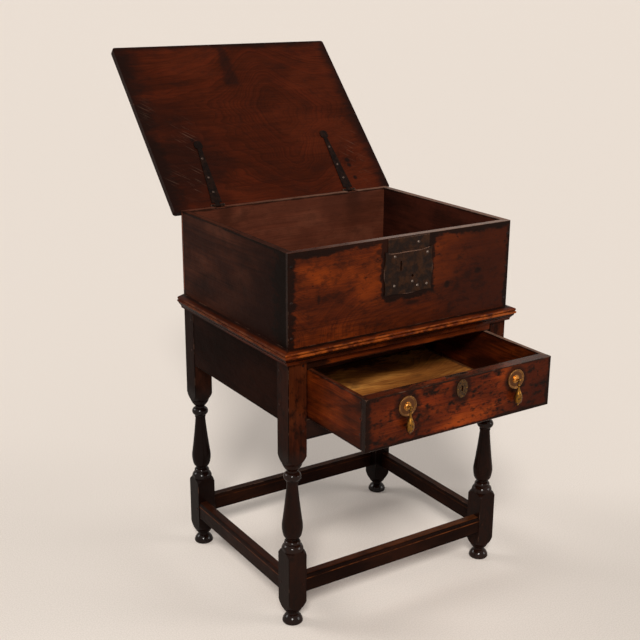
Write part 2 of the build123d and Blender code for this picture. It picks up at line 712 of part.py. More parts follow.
def strap_outline(lean):
    """Tapering strap, root at y = 0 and running towards -Y, with a round finial."""
    root, tip = STRAP_WIDTH / 2, STRAP_TIP_WIDTH / 2
    r = STRAP_FINIAL_R
    foot = STRAP_LENGTH - 2 * r
    left, right = (lean - tip, -foot), (lean + tip, -foot)
    end = (lean, -STRAP_LENGTH)
    return [
        Line((-root, 0), (root, 0)),
        Line((root, 0), right),
        Spline(right, (lean + r, -foot - r), end, tangents=((5, -1), (-1, 0))),
        Spline(end, (lean - r, -foot - r), left, tangents=((-1, 0), (5, 1))),
        Line(left, (-root, 0)),
    ]


def strap_nail_planes(x, lean):
    """Nails through a strap into the shut lid, heads below."""
    planes = []
    for along in STRAP_NAILS:
        sideways = lean * along / STRAP_LENGTH
        spot = (x + sideways, STRAP_ROOT_Y - along, PIVOT_Z - STRAP_PLATE)
        planes.append(Plane(spot, (1, 0, 0), (0, 0, -1)))
    return planes


def strap(x, lean):
    """Strap on the lid's underside, with the middle knuckle on a tongue behind it."""
    half = MID_KNUCKLE / 2
    low = PIVOT_Z - STRAP_PLATE
    plate = Pos(x, STRAP_ROOT_Y, low) * extrude(make_face(strap_outline(lean)), STRAP_PLATE)
    tongue = block((x - half, x + half), (STRAP_ROOT_Y, PIVOT_Y), (low, PIVOT_Z))
    eye = knuckle(x - half, x + half, KNUCKLE_R)
    bore = knuckle(x - half, x + half, PIN_R + PIN_PLAY)
    holes = [plane * short_hole() for plane in strap_nail_planes(x, lean)]
    return plate + tongue + eye - bore - holes


def leaf_nail_planes(x):
    """Nails through the back leaf into the box's back board."""
    middle = PIVOT_Z - KNUCKLE_R - LEAF_HEIGHT / 2
    out, step = LEAF_WIDTH / 4, LEAF_HEIGHT / 5
    spots = ((-out, step), (out, step), (0, -step))
    y = HALF_D + STRAP_PLATE
    return [Plane((x + dx, y, middle + dz), (1, 0, 0), (0, 1, 0)) for dx, dz in spots]


def leaf(x):
    """Back leaf: a plate on the back board with the two end knuckles."""
    half = LEAF_WIDTH / 2
    foot = PIVOT_Z - KNUCKLE_R - LEAF_HEIGHT
    plate = block((x - half, x + half), (HALF_D, HALF_D + STRAP_PLATE), (foot, PIVOT_Z))
    plate = chamfer(plate.edges().filter_by(Axis.Y).sort_by(Axis.Z)[:2], LEAF_WIDTH / 4)
    gap = MID_KNUCKLE / 2 + KNUCKLE_PLAY
    y = (HALF_D, HALF_D + STRAP_PLATE)
    between = block((x - gap, x + gap), y, (PIVOT_Z - KNUCKLE_R - HOUSING_PLAY, PIVOT_Z))
    above = block((x - half, x + half), y, (PIVOT_Z, PIVOT_Z + KNUCKLE_R))
    eyes = [knuckle(x - half, x - gap, KNUCKLE_R), knuckle(x + gap, x + half, KNUCKLE_R)]
    bore = knuckle(x - half, x + half, PIN_R)
    holes = [plane * short_hole() for plane in leaf_nail_planes(x)]
    return plate + eyes - between - above - bore - holes


def hinge_pin(x):
    """Pin with its ends burred over outside the knuckles."""
    low, high = x - LEAF_WIDTH / 2, x + LEAF_WIDTH / 2
    head = PIN_R + PIN_HEAD
    ends = [knuckle(low - PIN_HEAD, low, head), knuckle(high, high + PIN_HEAD, head)]
    return knuckle(low, high, PIN_R) + ends


def hinge_cuts_in_back():
    """Notches under the straps and the leaves' nail holes."""
    cuts = []
    for x, _ in HINGES.values():
        half = STRAP_WIDTH / 2 + HOUSING_PLAY
        z = (PIVOT_Z - STRAP_PLATE - HOUSING_PLAY, BOX_TOP)
        cuts.append(block((x - half, x + half), (HALF_D - BOARD, HALF_D), z))
        cuts += [plane * short_hole() for plane in leaf_nail_planes(x)]
    return cuts


def lid_board():
    """One wide board, its corners rounded, housed round the knuckles and bored for the nails."""
    half = HALF_W + LID_SIDE_OVERHANG
    board = block((-half, half), (LID_FRONT, LID_REAR), (PIVOT_Z, PIVOT_Z + LID_THICKNESS))
    board = fillet(board.edges().filter_by(Axis.Z), LID_CORNER)
    board = chamfer(board.faces().sort_by(Axis.Z)[-1].edges(), 2 * ARRIS)
    for x, lean in HINGES.values():
        room = LEAF_WIDTH / 2 + PIN_HEAD + HOUSING_PLAY
        reach = KNUCKLE_R + HOUSING_PLAY
        board -= block((x - room, x + room), (PIVOT_Y - reach, LID_REAR), (PIVOT_Z, PIVOT_Z + reach))
        board -= [plane * short_hole() for plane in strap_nail_planes(x, lean)]
    return board


def thrown_back(shape):
    """Turn a piece of the shut lid about the hinge line to where it rests open."""
    about = Pos(0, PIVOT_Y, PIVOT_Z) * Rot(-LID_OPEN, 0, 0) * Pos(0, -PIVOT_Y, -PIVOT_Z)
    return about * shape


def lid_and_hinges():
    parts["lid_board"] = thrown_back(lid_board())
    lid_nails = []
    leaf_nails = []
    for side, (x, lean) in HINGES.items():
        parts["hinge_strap_" + side] = thrown_back(strap(x, lean))
        parts["hinge_leaf_" + side] = leaf(x)
        parts["hinge_pin_" + side] = hinge_pin(x)
        lid_nails += [thrown_back(plane * short_nail()) for plane in strap_nail_planes(x, lean)]
        leaf_nails += [plane * short_nail() for plane in leaf_nail_planes(x)]
    parts["strap_nails"] = lid_nails
    parts["leaf_nails"] = leaf_nails


# ---------------------------------------------------------------- drawer, drawn as shut
DRAWER_INNER_HALF = DRAWER_HALF - SIDE_THICKNESS
FRONT_BACK_Y = FACE_Y + FRONT_THICKNESS
DRAWER_REAR_Y = FACE_Y + DRAWER_LENGTH
FLOOR_Z = DRAWER_Z + FLOOR_RAISE
DRAWER_LOCK_BACK_Y = FRONT_BACK_Y
DRAWER_LOCK_FRONT_Y = FRONT_BACK_Y - DRAWER_LOCK_THICKNESS
DRAWER_BOLT_FRONT_Y = DRAWER_LOCK_FRONT_Y + DRAWER_BOLT_INSET
DRAWER_BOLT_Y = (DRAWER_BOLT_FRONT_Y, DRAWER_BOLT_FRONT_Y + DRAWER_BOLT_THICKNESS)


def drawer_lock_span():
    half = DRAWER_LOCK_WIDTH / 2
    return (SCUTCHEON_X - half, SCUTCHEON_X + half)


def drawer_lock_box():
    z = (DRAWER_TOP - DRAWER_LOCK_HEIGHT, DRAWER_TOP)
    return block(drawer_lock_span(), (DRAWER_LOCK_FRONT_Y, DRAWER_LOCK_BACK_Y), z)


def drawer_bolt_block(grow, z):
    """The bolt's section, grown all round, over a span of height."""
    half = DRAWER_BOLT_WIDTH / 2 + grow
    y = (DRAWER_BOLT_Y[0] - grow, DRAWER_BOLT_Y[1] + grow)
    return block((SCUTCHEON_X - half, SCUTCHEON_X + half), y, z)


def drawer_bolt_mortise():
    """Mortise in the top rail that the drawer's bolt shoots into."""
    depth = DRAWER_BOLT_TRAVEL - DRAWER_TOP_PLAY + 1
    return drawer_bolt_block(1, (TOP_RAIL_Z, TOP_RAIL_Z + depth))


def rose_centres():
    return [(-HANDLE_X, HANDLE_Z), (HANDLE_X, HANDLE_Z)]


def scutcheon_pin_spots():
    out_x = SCUTCHEON_WIDTH / 2 - 3 * SCUTCHEON_PIN_R
    out_z = SCUTCHEON_HEIGHT / 2 - 3 * SCUTCHEON_PIN_R
    return [(-out_x, 0), (out_x, 0), (0, -out_z), (0, out_z)]


def scutcheon_pin(depth):
    """Small round pin along -Z from zero."""
    return Pos(0, 0, -depth) * extrude(RegularPolygon(SCUTCHEON_PIN_R, 8), depth)


def scutcheon_pin_planes():
    y = FACE_Y - SCUTCHEON_THICKNESS
    planes = []
    for dx, dz in scutcheon_pin_spots():
        planes.append(Plane((SCUTCHEON_X + dx, y, SCUTCHEON_Z + dz), (1, 0, 0), (0, -1, 0)))
    return planes


def wire_slot(y):
    """The slot through rose and drawer front for the two legs of the handle's wire."""
    slots = []
    for x, z in rose_centres():
        slot = SlotOverall(2 * (WIRE_HALF + WIRE_R), 2 * WIRE_R)
        slots.append(Pos(x, y[1], z) * extrude(Plane.XZ * slot, y[1] - y[0]))
    return slots


def drawer_front():
    z = (DRAWER_Z, DRAWER_TOP)
    board = block((-DRAWER_HALF, DRAWER_HALF), (FACE_Y, FRONT_BACK_Y), z)
    board = chamfer(board.faces().sort_by(Axis.Y)[0].edges(), ARRIS)
    seat = block((DRAWER_INNER_HALF, DRAWER_HALF), (FACE_Y + FRONT_LIP, FRONT_BACK_Y), z)
    key = keyhole_cut(SCUTCHEON_X, SCUTCHEON_Z, SCUTCHEON_KEYHOLE, (FACE_Y, DRAWER_LOCK_FRONT_Y))
    cuts = both_sides(seat) + [drawer_lock_box(), key] + wire_slot((FACE_Y, FRONT_BACK_Y))
    cuts += [plane * scutcheon_pin(FRONT_LIP / 2) for plane in scutcheon_pin_planes()]
    return board - cuts


def drawer_nail_places():
    """Nails through the drawer's sides, into the ends of its front and back boards."""
    height = DRAWER_TOP - DRAWER_Z
    front_y = FACE_Y + (FRONT_LIP + FRONT_THICKNESS) / 2
    back_y = DRAWER_REAR_Y - DRAWER_BACK / 2
    planes = []
    for side in (-1, 1):
        for y in (front_y, back_y):
            for part in DRAWER_NAIL_PARTS:
                spot = (side * DRAWER_HALF, y, DRAWER_Z + part * height)
                planes.append(Plane(spot, (0, 1, 0), (side, 0, 0)))
    return planes


def drawer_carcase():
    """Front, two sides lapped by it, back between the sides, and the floor board."""
    parts["drawer_front"] = drawer_front()
    side_y = (FACE_Y + FRONT_LIP, DRAWER_REAR_Y)
    left = block((-DRAWER_HALF, -DRAWER_INNER_HALF), side_y, (DRAWER_Z, DRAWER_TOP))
    parts["drawer_side_left"], parts["drawer_side_right"] = both_sides(eased(left, Axis.Y))
    across = (-DRAWER_INNER_HALF, DRAWER_INNER_HALF)
    floor_top = FLOOR_Z + DRAWER_FLOOR
    back_y = (DRAWER_REAR_Y - DRAWER_BACK, DRAWER_REAR_Y)
    parts["drawer_back"] = block(across, back_y, (floor_top, DRAWER_TOP - BACK_DROP))
    parts["drawer_floor"] = block(across, (FRONT_BACK_Y, DRAWER_REAR_Y), (FLOOR_Z, floor_top))
    places = drawer_nail_places()
    holes = [place * nail_hole(FINE_SHANK, FINE_LENGTH) for place in places]
    for name in ("drawer_front", "drawer_side_left", "drawer_side_right", "drawer_back"):
        parts[name] -= holes
    fine = nail(FINE_SHANK, FINE_LENGTH, FINE_HEAD, FINE_HEAD_HEIGHT)
    parts["drawer_nails"] = [place * fine for place in places]


def drawer_lock():
    shell = drawer_lock_box()
    w = LOCK_WALL
    x = drawer_lock_span()
    foot = DRAWER_TOP - DRAWER_LOCK_HEIGHT
    y = (DRAWER_LOCK_FRONT_Y, DRAWER_LOCK_BACK_Y - w)
    hollow = block((x[0] + w, x[1] - w), y, (foot + w, DRAWER_TOP - w))
    mouth = drawer_bolt_block(FIT, (DRAWER_TOP - w, DRAWER_TOP))
    top = DRAWER_TOP - FIT
    low = top - DRAWER_BOLT_HEIGHT
    ledge = block(x, DRAWER_BOLT_Y, (foot, low - FIT))
    key_x = (SCUTCHEON_X - KEY_ROOM / 2, SCUTCHEON_X + KEY_ROOM / 2)
    key_room = block(key_x, DRAWER_BOLT_Y, (foot + w, low))
    parts["drawer_lock_case"] = shell - hollow - mouth + (ledge - key_room)
    parts["drawer_lock_bolt"] = drawer_bolt_block(0, (low, top))


def scutcheon():
    face = Plane((SCUTCHEON_X, FACE_Y, SCUTCHEON_Z), x_dir=(1, 0, 0), z_dir=(0, -1, 0))
    plate = extrude(face * Ellipse(SCUTCHEON_WIDTH / 2, SCUTCHEON_HEIGHT / 2), SCUTCHEON_THICKNESS)
    key = keyhole_cut(SCUTCHEON_X, SCUTCHEON_Z, SCUTCHEON_KEYHOLE, (FACE_Y - SCUTCHEON_THICKNESS, FACE_Y))
    planes = scutcheon_pin_planes()
    holes = [plane * scutcheon_pin(FRONT_LIP / 2) for plane in planes]
    parts["scutcheon"] = plate - key - holes
    pin = Pos(0, 0, PIN_PROUD) * scutcheon_pin(FRONT_LIP / 2 + PIN_PROUD)
    parts["scutcheon_pins"] = [plane * pin for plane in planes]


def rose(x, z):
    """Cast brass backplate: rim bead, hollow, and a boss for the wire."""
    r, t = ROSE_R, ROSE_THICKNESS
    rim = ROSE_RIM
    dish = t - ROSE_DISH
    edges = [
        Line((0, 0), (r, 0)),
        Line((r, 0), (r, t)),
        ThreePointArc((r, t), (r - rim / 2, t + rim / 2), (r - rim, t)),
        Line((r - rim, t), (r - 2 * rim, dish)),
        Line((r - 2 * rim, dish), (ROSE_BOSS_R, dish)),
        Line((ROSE_BOSS_R, dish), (ROSE_BOSS_R, ROSE_SHOULDER)),
        Line((ROSE_BOSS_R, ROSE_SHOULDER), (ROSE_CROWN_R, ROSE_BOSS)),
        Line((ROSE_CROWN_R, ROSE_BOSS), (0, ROSE_BOSS)),
        Line((0, ROSE_BOSS), (0, 0)),
    ]
    turned = revolve(Plane.XZ * make_face(edges), Axis.Z)
    placed = Plane((x, FACE_Y, z), x_dir=(1, 0, 0), z_dir=(0, -1, 0)) * turned
    return placed - wire_slot((FACE_Y - 2 * ROSE_BOSS, FACE_Y + ROSE_THICKNESS))


def handle_wire(x, z):
    """Brass wire: a loop in front, two legs through the drawer front, tails spread inside."""
    front = FACE_Y - WIRE_OUT
    inside = FRONT_BACK_Y + WIRE_R
    spread = WIRE_HALF + WIRE_TAIL
    half = [(spread, inside), (WIRE_HALF, inside), (WIRE_HALF, front)]
    corners = [(-px, py) for px, py in half] + half[::-1]
    path = FilletPolyline(*[(x + px, py, z) for px, py in corners], radius=WIRE_R)
    start = Plane(path @ 0, z_dir=path % 0)
    return sweep(start * Circle(WIRE_R), path=path)


def handle_drop(x, z):
    """Pear drop that hangs from the wire by its eye."""
    thin = DROP_TIP_R
    top = -EYE_R * 0.8
    collar = -PEAR_START - 2 * thin
    ball = -PEAR_END - thin
    neck = (thin / 2, ball + thin * sqrt(3) / 2)
    edges = [
        Line((0, top), (thin, top)),
        Line((thin, top), (thin, -PEAR_START)),
        ThreePointArc((thin, -PEAR_START), (thin * 1.8, -PEAR_START - thin), (thin, collar)),
        Spline((thin, collar), (PEAR_R, -PEAR_FULL), tangents=((0, -1), (0, -1))),
        Spline((PEAR_R, -PEAR_FULL), neck, tangents=((0, -1), (-1, -0.3))),
        ThreePointArc(neck, (thin, ball), (0, ball - thin)),
        Line((0, ball - thin), (0, top)),
    ]
    pear = revolve(Plane.XZ * make_face(edges), Axis.Z)
    eye = extrude(Plane.YZ * Circle(EYE_R), EYE_WIDTH / 2, both=True)
    hole = extrude(Plane.YZ * Circle(WIRE_R + EYE_PLAY), EYE_WIDTH, both=True)
    return Pos(x, FACE_Y - WIRE_OUT, z) * (pear + eye - hole)


def handles():
    for side, (x, z) in zip(("left", "right"), rose_centres()):
        parts["rose_" + side] = rose(x, z)
        parts["handle_wire_" + side] = handle_wire(x, z)
        parts["handle_drop_" + side] = handle_drop(x, z)


def drawn_out(names):
    """Move the drawer's pieces out to where the drawer rests."""
    way = Pos(0, -DRAWN, 0)
    for name in names:
        shape = parts[name]
        group = isinstance(shape, list)
        parts[name] = [way * piece for piece in shape] if group else way * shape


def drawer():
    before = set(parts)
    drawer_carcase()
    drawer_lock()
    scutcheon()
    handles()
    drawn_out([name for name in parts if name not in before])


# ---------------------------------------------------------------- the whole piece
def build():
    legs()
    front_rails()
    friezes()
    stretchers()
    drawer_ways()
    parts["frame_pegs"] = frame_pegs()
    mouldings()
    box_boards()
    box_lock()
    lid_and_hinges()
    drawer()


def write():
    os.makedirs("parts", exist_ok=True)
    for name, shape in parts.items():
        solids = shape if isinstance(shape, list) else [shape]
        whole = Compound(children=[s for item in solids for s in item.solids()])
        export_step(whole, os.path.join("parts", name + ".step"))
        print(f"{name:20s} {len(whole.solids())} solid(s)")


build()
write()
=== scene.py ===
# %% [markdown]
# # A bible box on its stand
#
# A boarded oak box with a strap-hinged lid sits on a joined stand with turned legs and one drawer.
# Three hundred years of wax, hands and soot give it its look: almost black in the corners and on
# the turnings, red-brown on the boards, orange where it was rubbed. The solids come from the CAD
# model. What is made here is the camera, the light, one small lip of iron and, above all, the
# finish of every piece.

# %% Load the model
import json
import math

import bpy
from mathutils import Matrix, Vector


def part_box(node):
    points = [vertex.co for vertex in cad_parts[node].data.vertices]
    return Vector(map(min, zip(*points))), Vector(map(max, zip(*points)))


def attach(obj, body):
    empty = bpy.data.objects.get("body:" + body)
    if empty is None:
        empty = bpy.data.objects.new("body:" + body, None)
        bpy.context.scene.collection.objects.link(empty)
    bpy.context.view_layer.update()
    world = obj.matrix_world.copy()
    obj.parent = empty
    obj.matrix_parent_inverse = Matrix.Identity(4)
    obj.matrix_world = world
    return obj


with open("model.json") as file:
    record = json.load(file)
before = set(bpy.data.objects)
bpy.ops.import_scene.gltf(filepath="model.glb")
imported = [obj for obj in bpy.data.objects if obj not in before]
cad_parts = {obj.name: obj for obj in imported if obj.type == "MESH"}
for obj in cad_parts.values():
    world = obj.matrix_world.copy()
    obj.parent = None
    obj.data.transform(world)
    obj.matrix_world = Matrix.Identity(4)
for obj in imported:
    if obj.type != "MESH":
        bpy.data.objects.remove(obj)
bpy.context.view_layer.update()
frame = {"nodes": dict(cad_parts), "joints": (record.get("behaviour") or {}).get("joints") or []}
nodes = frame["nodes"]

# %% [markdown]
# ## The camera
#
# The piece is seen from eye height, from the front left, so that one looks a little down into the
# box. A camera could be turned by hand, or aimed at a target by a constraint. Here its compass
# angle, dip and roll are given in degrees and its three axes follow from them by trigonometry,
# because those are the numbers that a person standing there could tell. The place is in metres,
# and the length of the lens in pixels of the picture.

# %% Camera
IMAGE = 640
FOCAL_PIXELS = 1106.25
OPTICAL_AXIS_RISE = 2.68
SENSOR = 36.0
CAMERA_AT = (-1.42348, -2.10409, 1.42163)
COMPASS = 32.882
DIP = 17.490
ROLL = 0.309


def camera_axes(compass, dip, roll):
    """Right, up and backward directions of a camera."""
    a, e, r = (math.radians(angle) for angle in (compass, dip, roll))
    ahead = (math.sin(a) * math.cos(e), math.cos(a) * math.cos(e), -math.sin(e))
    right = (math.cos(a), -math.sin(a), 0.0)
    up = (math.sin(a) * math.sin(e), math.cos(a) * math.sin(e), math.cos(e))
    rolled_right = [math.cos(r) * i + math.sin(r) * j for i, j in zip(right, up)]
    rolled_up = [math.cos(r) * j - math.sin(r) * i for i, j in zip(right, up)]
    return rolled_right, rolled_up, [-c for c in ahead]


lens = bpy.data.cameras.new("eye_height_camera")
lens.sensor_width = SENSOR
lens.lens = FOCAL_PIXELS / IMAGE * SENSOR
lens.shift_y = -OPTICAL_AXIS_RISE / IMAGE
lens.clip_end = 200.0
camera = bpy.data.objects.new("eye_height_camera", lens)
bpy.context.scene.collection.objects.link(camera)
rows = zip(*camera_axes(COMPASS, DIP, ROLL))
camera.matrix_world = Matrix([[*row, at] for row, at in zip(rows, CAMERA_AT)] + [[0, 0, 0, 1]])
bpy.context.scene.camera = camera
bpy.context.scene.view_settings.view_transform = "Standard"
print("lens", round(lens.lens, 2), "mm")

# %% [markdown]
# ## Shader arithmetic in plain Python
#
# A finish is built from nodes, and most of them only add or multiply. They could be placed and
# linked one by one, but a formula reads better. `Wire` holds one output of a node and turns `+`,
# `-`, `*` and `/` into Math nodes. `Net` is a node tree being filled: its `node` method makes any
# other node from its type, its settings and the values or wires of its sockets. A `Finish` is the
# net of one material.

# %% Wire
class Wire:
    """One output of a shader node."""

    def __init__(self, net, socket):
        self.net = net
        self.socket = socket

    def math(self, operation, *values):
        return self.net.node("ShaderNodeMath", {"operation": operation}, values)

    def __add__(self, other):
        return self.math("ADD", self, other)

    def __sub__(self, other):
        return self.math("SUBTRACT", self, other)

    def __rsub__(self, other):
        return self.math("SUBTRACT", other, self)

    def __mul__(self, other):
        return self.math("MULTIPLY", self, other)

    def __truediv__(self, other):
        return self.math("DIVIDE", self, other)

    def __rtruediv__(self, other):
        return self.math("DIVIDE", other, self)

    def __pow__(self, other):
        return self.math("POWER", self, other)

    __radd__ = __add__
    __rmul__ = __mul__

    def least(self, other):
        return self.math("MINIMUM", self, other)

    def most(self, other):
        return self.math("MAXIMUM", self, other)

    def size(self):
        return self.math("ABSOLUTE", self)

    def fraction(self):
        return self.math("FRACT", self)

    def ramp(self, low, high):
        """0 below low, 1 above high and a smooth step between; high may be the smaller."""
        settings = {"interpolation_type": "SMOOTHSTEP", "clamp": True}
        values = {"Value": self, "From Min": low, "From Max": high}
        return self.net.node("ShaderNodeMapRange", settings, values)


print("a wire knows", [word for word in vars(Wire) if not word.startswith("_")])


# %% Net
class Net:
    """A node tree under construction."""

    def __init__(self, tree):
        self.tree = tree
        tree.nodes.clear()

    def node(self, kind, settings, values, output=0):
        made = self.tree.nodes.new(kind)
        for key, setting in settings.items():
            setattr(made, key, setting)
        pairs = values.items() if isinstance(values, dict) else enumerate(values)
        for key, value in pairs:
            if isinstance(value, Wire):
                self.tree.links.new(value.socket, made.inputs[key])
            else:
                made.inputs[key].default_value = value
        return Wire(self, made.outputs[output])

    def close(self, kind, shader):
        self.tree.links.new(shader.socket, self.tree.nodes.new(kind).inputs["Surface"])


print("a net makes any node and closes with a surface")


# %% Colours
def paint(code):
    """A colour written as it looks, such as 8a4b22, as the linear values that shaders use."""
    parts = [int(code[i:i + 2], 16) / 255 for i in (0, 2, 4)]
    return (*[c / 12.92 if c <= 0.04045 else ((c + 0.055) / 1.055) ** 2.4 for c in parts], 1.0)


print("a mid brown is", [round(c, 3) for c in paint("7b4a2a")])


# %% Finish
class Finish(Net):
    """A material under construction."""

    def __init__(self, name):
        self.material = bpy.data.materials.new(name)
        self.material.use_nodes = True
        super().__init__(self.material.node_tree)
        self.place = self.node("ShaderNodeTexCoord", {}, {}, "Object")

    def noise(self, point, scale, detail=3.0, rough=0.5):
        values = {"Vector": point, "Scale": scale, "Detail": detail, "Roughness": rough}
        return self.node("ShaderNodeTexNoise", {"noise_dimensions": "3D"}, values)

    def join(self, x, y, z):
        return self.node("ShaderNodeCombineXYZ", {}, [x, y, z])

    def split(self, point):
        parts = self.node("ShaderNodeSeparateXYZ", {}, [point]).socket.node
        return [Wire(self, output) for output in parts.outputs]

    def mix(self, share, under, over):
        """The colour `under` with a share of the colour `over` laid on it."""
        settings = {"data_type": "RGBA", "clamp_factor": True}
        return self.node("ShaderNodeMix", settings, {0: share, 6: under, 7: over}, 2)

    def stain(self, share, under, code):
        """The same, with the upper colour written as it looks."""
        return self.mix(share, under, paint(code))

    def bump(self, height, distance, strength, below=None):
        values = {"Height": height, "Distance": distance, "Strength": strength}
        if below is not None:
            values["Normal"] = below
        return self.node("ShaderNodeBump", {}, values)

    def surface(self, color, rough, normal=None, metal=0.0, **constants):
        values = {"Base Color": color, "Roughness": rough, "Metallic": metal}
        if normal is not None:
            values["Normal"] = normal
        values.update({key.replace("_", " "): value for key, value in constants.items()})
        shader = self.node("ShaderNodeBsdfPrincipled", {}, values)
        self.close("ShaderNodeOutputMaterial", shader)
        return self.material


print("a finish can", [word for word in vars(Finish) if not word.startswith("_")])

# %% [markdown]
# ## The floor
#
# The stand needs a plain pale floor to throw its shadow on. A curved studio sweep would hide the
# horizon, but a flat sheet does so too if it is wide enough, because the camera looks down. A fine
# speckle in its colour keeps it from looking like paper.

# %% Floor
FLOOR_HALF = 400.0


def studio_floor():
    corners = [(x * FLOOR_HALF, y * FLOOR_HALF, 0) for x, y in ((-1, -1), (1, -1), (1, 1), (-1, 1))]
    mesh = bpy.data.meshes.new("studio_floor")
    mesh.from_pydata(corners, [], [(0, 1, 2, 3)])
    floor = bpy.data.objects.new("studio_floor", mesh)
    bpy.context.scene.collection.objects.link(floor)
    finish = Finish("pale_floor")
    speckle = finish.noise(finish.place, 300.0, 2.0)
    color = finish.stain(speckle.ramp(0.35, 0.65), paint("dcd3ca"), "e6ddd5")
    mesh.materials.append(finish.surface(color, 0.9, Specular_IOR_Level=0.2))
    return floor


print(studio_floor().name, 2 * FLOOR_HALF, "m wide")

# %% [markdown]
# ## The light
#
# Old wax is dark and shiny, so each light shows in it. Area lamps would fade over the wide floor
# and draw bright squares on the wood. Suns light near and far alike, and a wide disc makes them soft.
# The strong one stands high to the left of the camera, a weak one low on the right opens the
# shadows, and a third lights the back. It stands on the left, since on the right its mirror image
# would lay a grey glare over every upper edge.

# %% Suns
def soft_sun(name, toward, strength, spread, tint):
    """A sun seen in the direction `toward`, with a disc `spread` degrees wide."""
    data = bpy.data.lights.new(name, "SUN")
    data.energy = strength
    data.angle = math.radians(spread)
    data.color = tint
    sun = bpy.data.objects.new(name, data)
    bpy.context.scene.collection.objects.link(sun)
    x, y, z = toward
    sun.rotation_euler = (math.atan2(math.hypot(x, y), z), 0, math.atan2(x, -y))
    return sun


soft_sun("key_sun", (-0.55, -0.80, 0.80), 2.3, 14, (1.0, 0.97, 0.93))
soft_sun("fill_sun", (0.80, -0.65, 0.40), 0.75, 22, (1.0, 0.98, 0.96))
soft_sun("back_sun", (-0.75, 0.75, 0.65), 1.0, 22, (1.0, 0.98, 0.96))
print("three suns")

# %% [markdown]
# ## The room
#
# A low camera sees past the floor to a pale wall, and the brass and the polished turnings mirror
# it. A real wall would stand in the way of the back sun, so it is only the colour of the world,
# shown to the rays that look at it. All other rays meet the room's own faint light, which fills
# the shadows.

# %% Room
world = bpy.data.worlds.new("pale_room")
bpy.context.scene.world = world
world.use_nodes = True
net = Net(world.node_tree)
shown = 0.0
for ray in ("Is Camera Ray", "Is Glossy Ray", "Is Transmission Ray"):
    shown = net.node("ShaderNodeLightPath", {}, {}, ray).most(shown)
room = net.node("ShaderNodeBackground", {}, {"Color": (1.0, 0.97, 0.94, 1.0), "Strength": 0.36})
wall = net.node("ShaderNodeBackground", {}, {"Color": paint("ece4dc"), "Strength": 1.0})
net.close("ShaderNodeOutputWorld", net.node("ShaderNodeMixShader", {}, [shown, room, wall]))
print("the wall is seen, the room lights")

# %% [markdown]
# ## Which way the grain runs
#
# Every board was sawn from a log, so its pattern is a slice through rings round the log's heart.
# The pattern could be laid on with an image and a UV map, but then it would break at each edge. A
# pattern in space runs round the corners by itself, if it knows how the board lay in the log. So
# the finish works in the board's own axes: first along the grain, then across the face, then
# through the thickness. A word of three letters says which world axis plays each part.

# %% Board axes
def board_axes(layout, parts):
    """The wires x, y and z in the board's own order: along, across, through."""
    return [parts["xyz".index(letter)] for letter in layout]


print("a drawer front is laid out xzy:", board_axes("xzy", ["along x", "through y", "across z"]))


# %% Noise along the grain
def drawn_out(finish, axes, along_scale, side_scale, shift, detail, rough):
    """Noise with one scale along the grain and another across it, moved so that no boards match."""
    scales = (along_scale, side_scale, side_scale)
    parts = []
    for axis, scale, move in zip(axes, scales, shift):
        parts.append(axis * scale + move if move else axis * scale)
    return finish.noise(finish.join(*parts), 1.0, detail, rough)


print("a scale of 5 along and 200 across draws streaks forty times as long as wide")

# %% [markdown]
# ## The oak itself
#
# Three things make oak read as oak. The yearly rings of the log draw fine dark lines, which close
# into nested ovals where a flat-cut board grazes a hump in the log. The open pores draw thousands
# of short dark scratches along the grain, and finer streaks run between them. Blender's wave
# texture has rings, but they are all alike. `timber` works them out instead, from the distance to
# the log's heart. `heart` says where that lies: how far across the face, how far behind it, where
# along the board the hump is, and how high. A ring starts pale and ends dark, so its colour is a
# saw tooth: the fraction of the ring number, raised to a power.

# %% Timber
RING_WIDTH = 0.0036
HUMP_HALF = 0.09
LOG_WANDER = (0.05, 0.03)
RING_WAVER = 0.0016


def timber(finish, axes, number, heart, ring):
    """Rings, wider bands of years, pores and streaks as wires from 0 to 1."""
    along, across, through = axes
    across_at, behind, along_at, hump = heart
    stretch = number * 1.37
    shift = (stretch, 0, 0)
    slow = drawn_out(finish, axes, 2.2, 6.0, shift, 3.0, 0.5)
    quick = drawn_out(finish, axes, 9.0, 40.0, shift, 2.0, 0.5)
    y = across - across_at + (slow - 0.5) * LOG_WANDER[0]
    step = (along - along_at) / HUMP_HALF
    z = through + behind + hump * (1 - 1 / (step * step + 1)) + (slow - 0.5) * LOG_WANDER[1]
    radius = (y * y + z * z) ** 0.5 + (quick - 0.5) * RING_WAVER
    years = finish.noise(finish.join(radius / (ring * 3.0), along * 0.8, stretch), 1.0, 2.0, 0.55)
    rings = (radius / ring + years * 4.0).fraction() ** 2.5
    pores = drawn_out(finish, axes, 30.0, 1000.0, shift, 2.0, 0.6)
    streaks = drawn_out(finish, axes, 5.0, 210.0, shift, 4.0, 0.65)
    return rings, years.ramp(0.36, 0.64), pores.ramp(0.60, 0.76), streaks.ramp(0.28, 0.72)


print("one ring of the oak is", RING_WIDTH * 1000, "mm wide")

# %% [markdown]
# ## A board and its edges
#
# All that follows asks the same things of a board: where a point lies, what the timber does there,
# how near the next edge is. Edges are where a board gets dark and worn. Blender can find them by
# the mesh's curvature, but flat boards have too few points for that, so the distance is measured
# to the board's bounding box. `Board` works all this out once. Its `clouds`, `stains` and `mottle`
# are patterns as wide as a hand, three fingers and a thumb, and `ragged` pushes each mask in and
# out, so that none follows an edge like a frame. `band` makes a ragged dark strip along one side.

# %% Board
PIECE_NUMBERS = {name: number for number, name in enumerate(sorted(nodes))}


def arris_distance(parts, bounds):
    """Distance from the nearest edge of a box, for a point inside it."""
    gaps = []
    for value, low, high in zip(parts, *bounds):
        gaps.append((value - low).least(high - value))
    a, b, c = gaps
    return a.least(b).most(a.most(b).least(c))


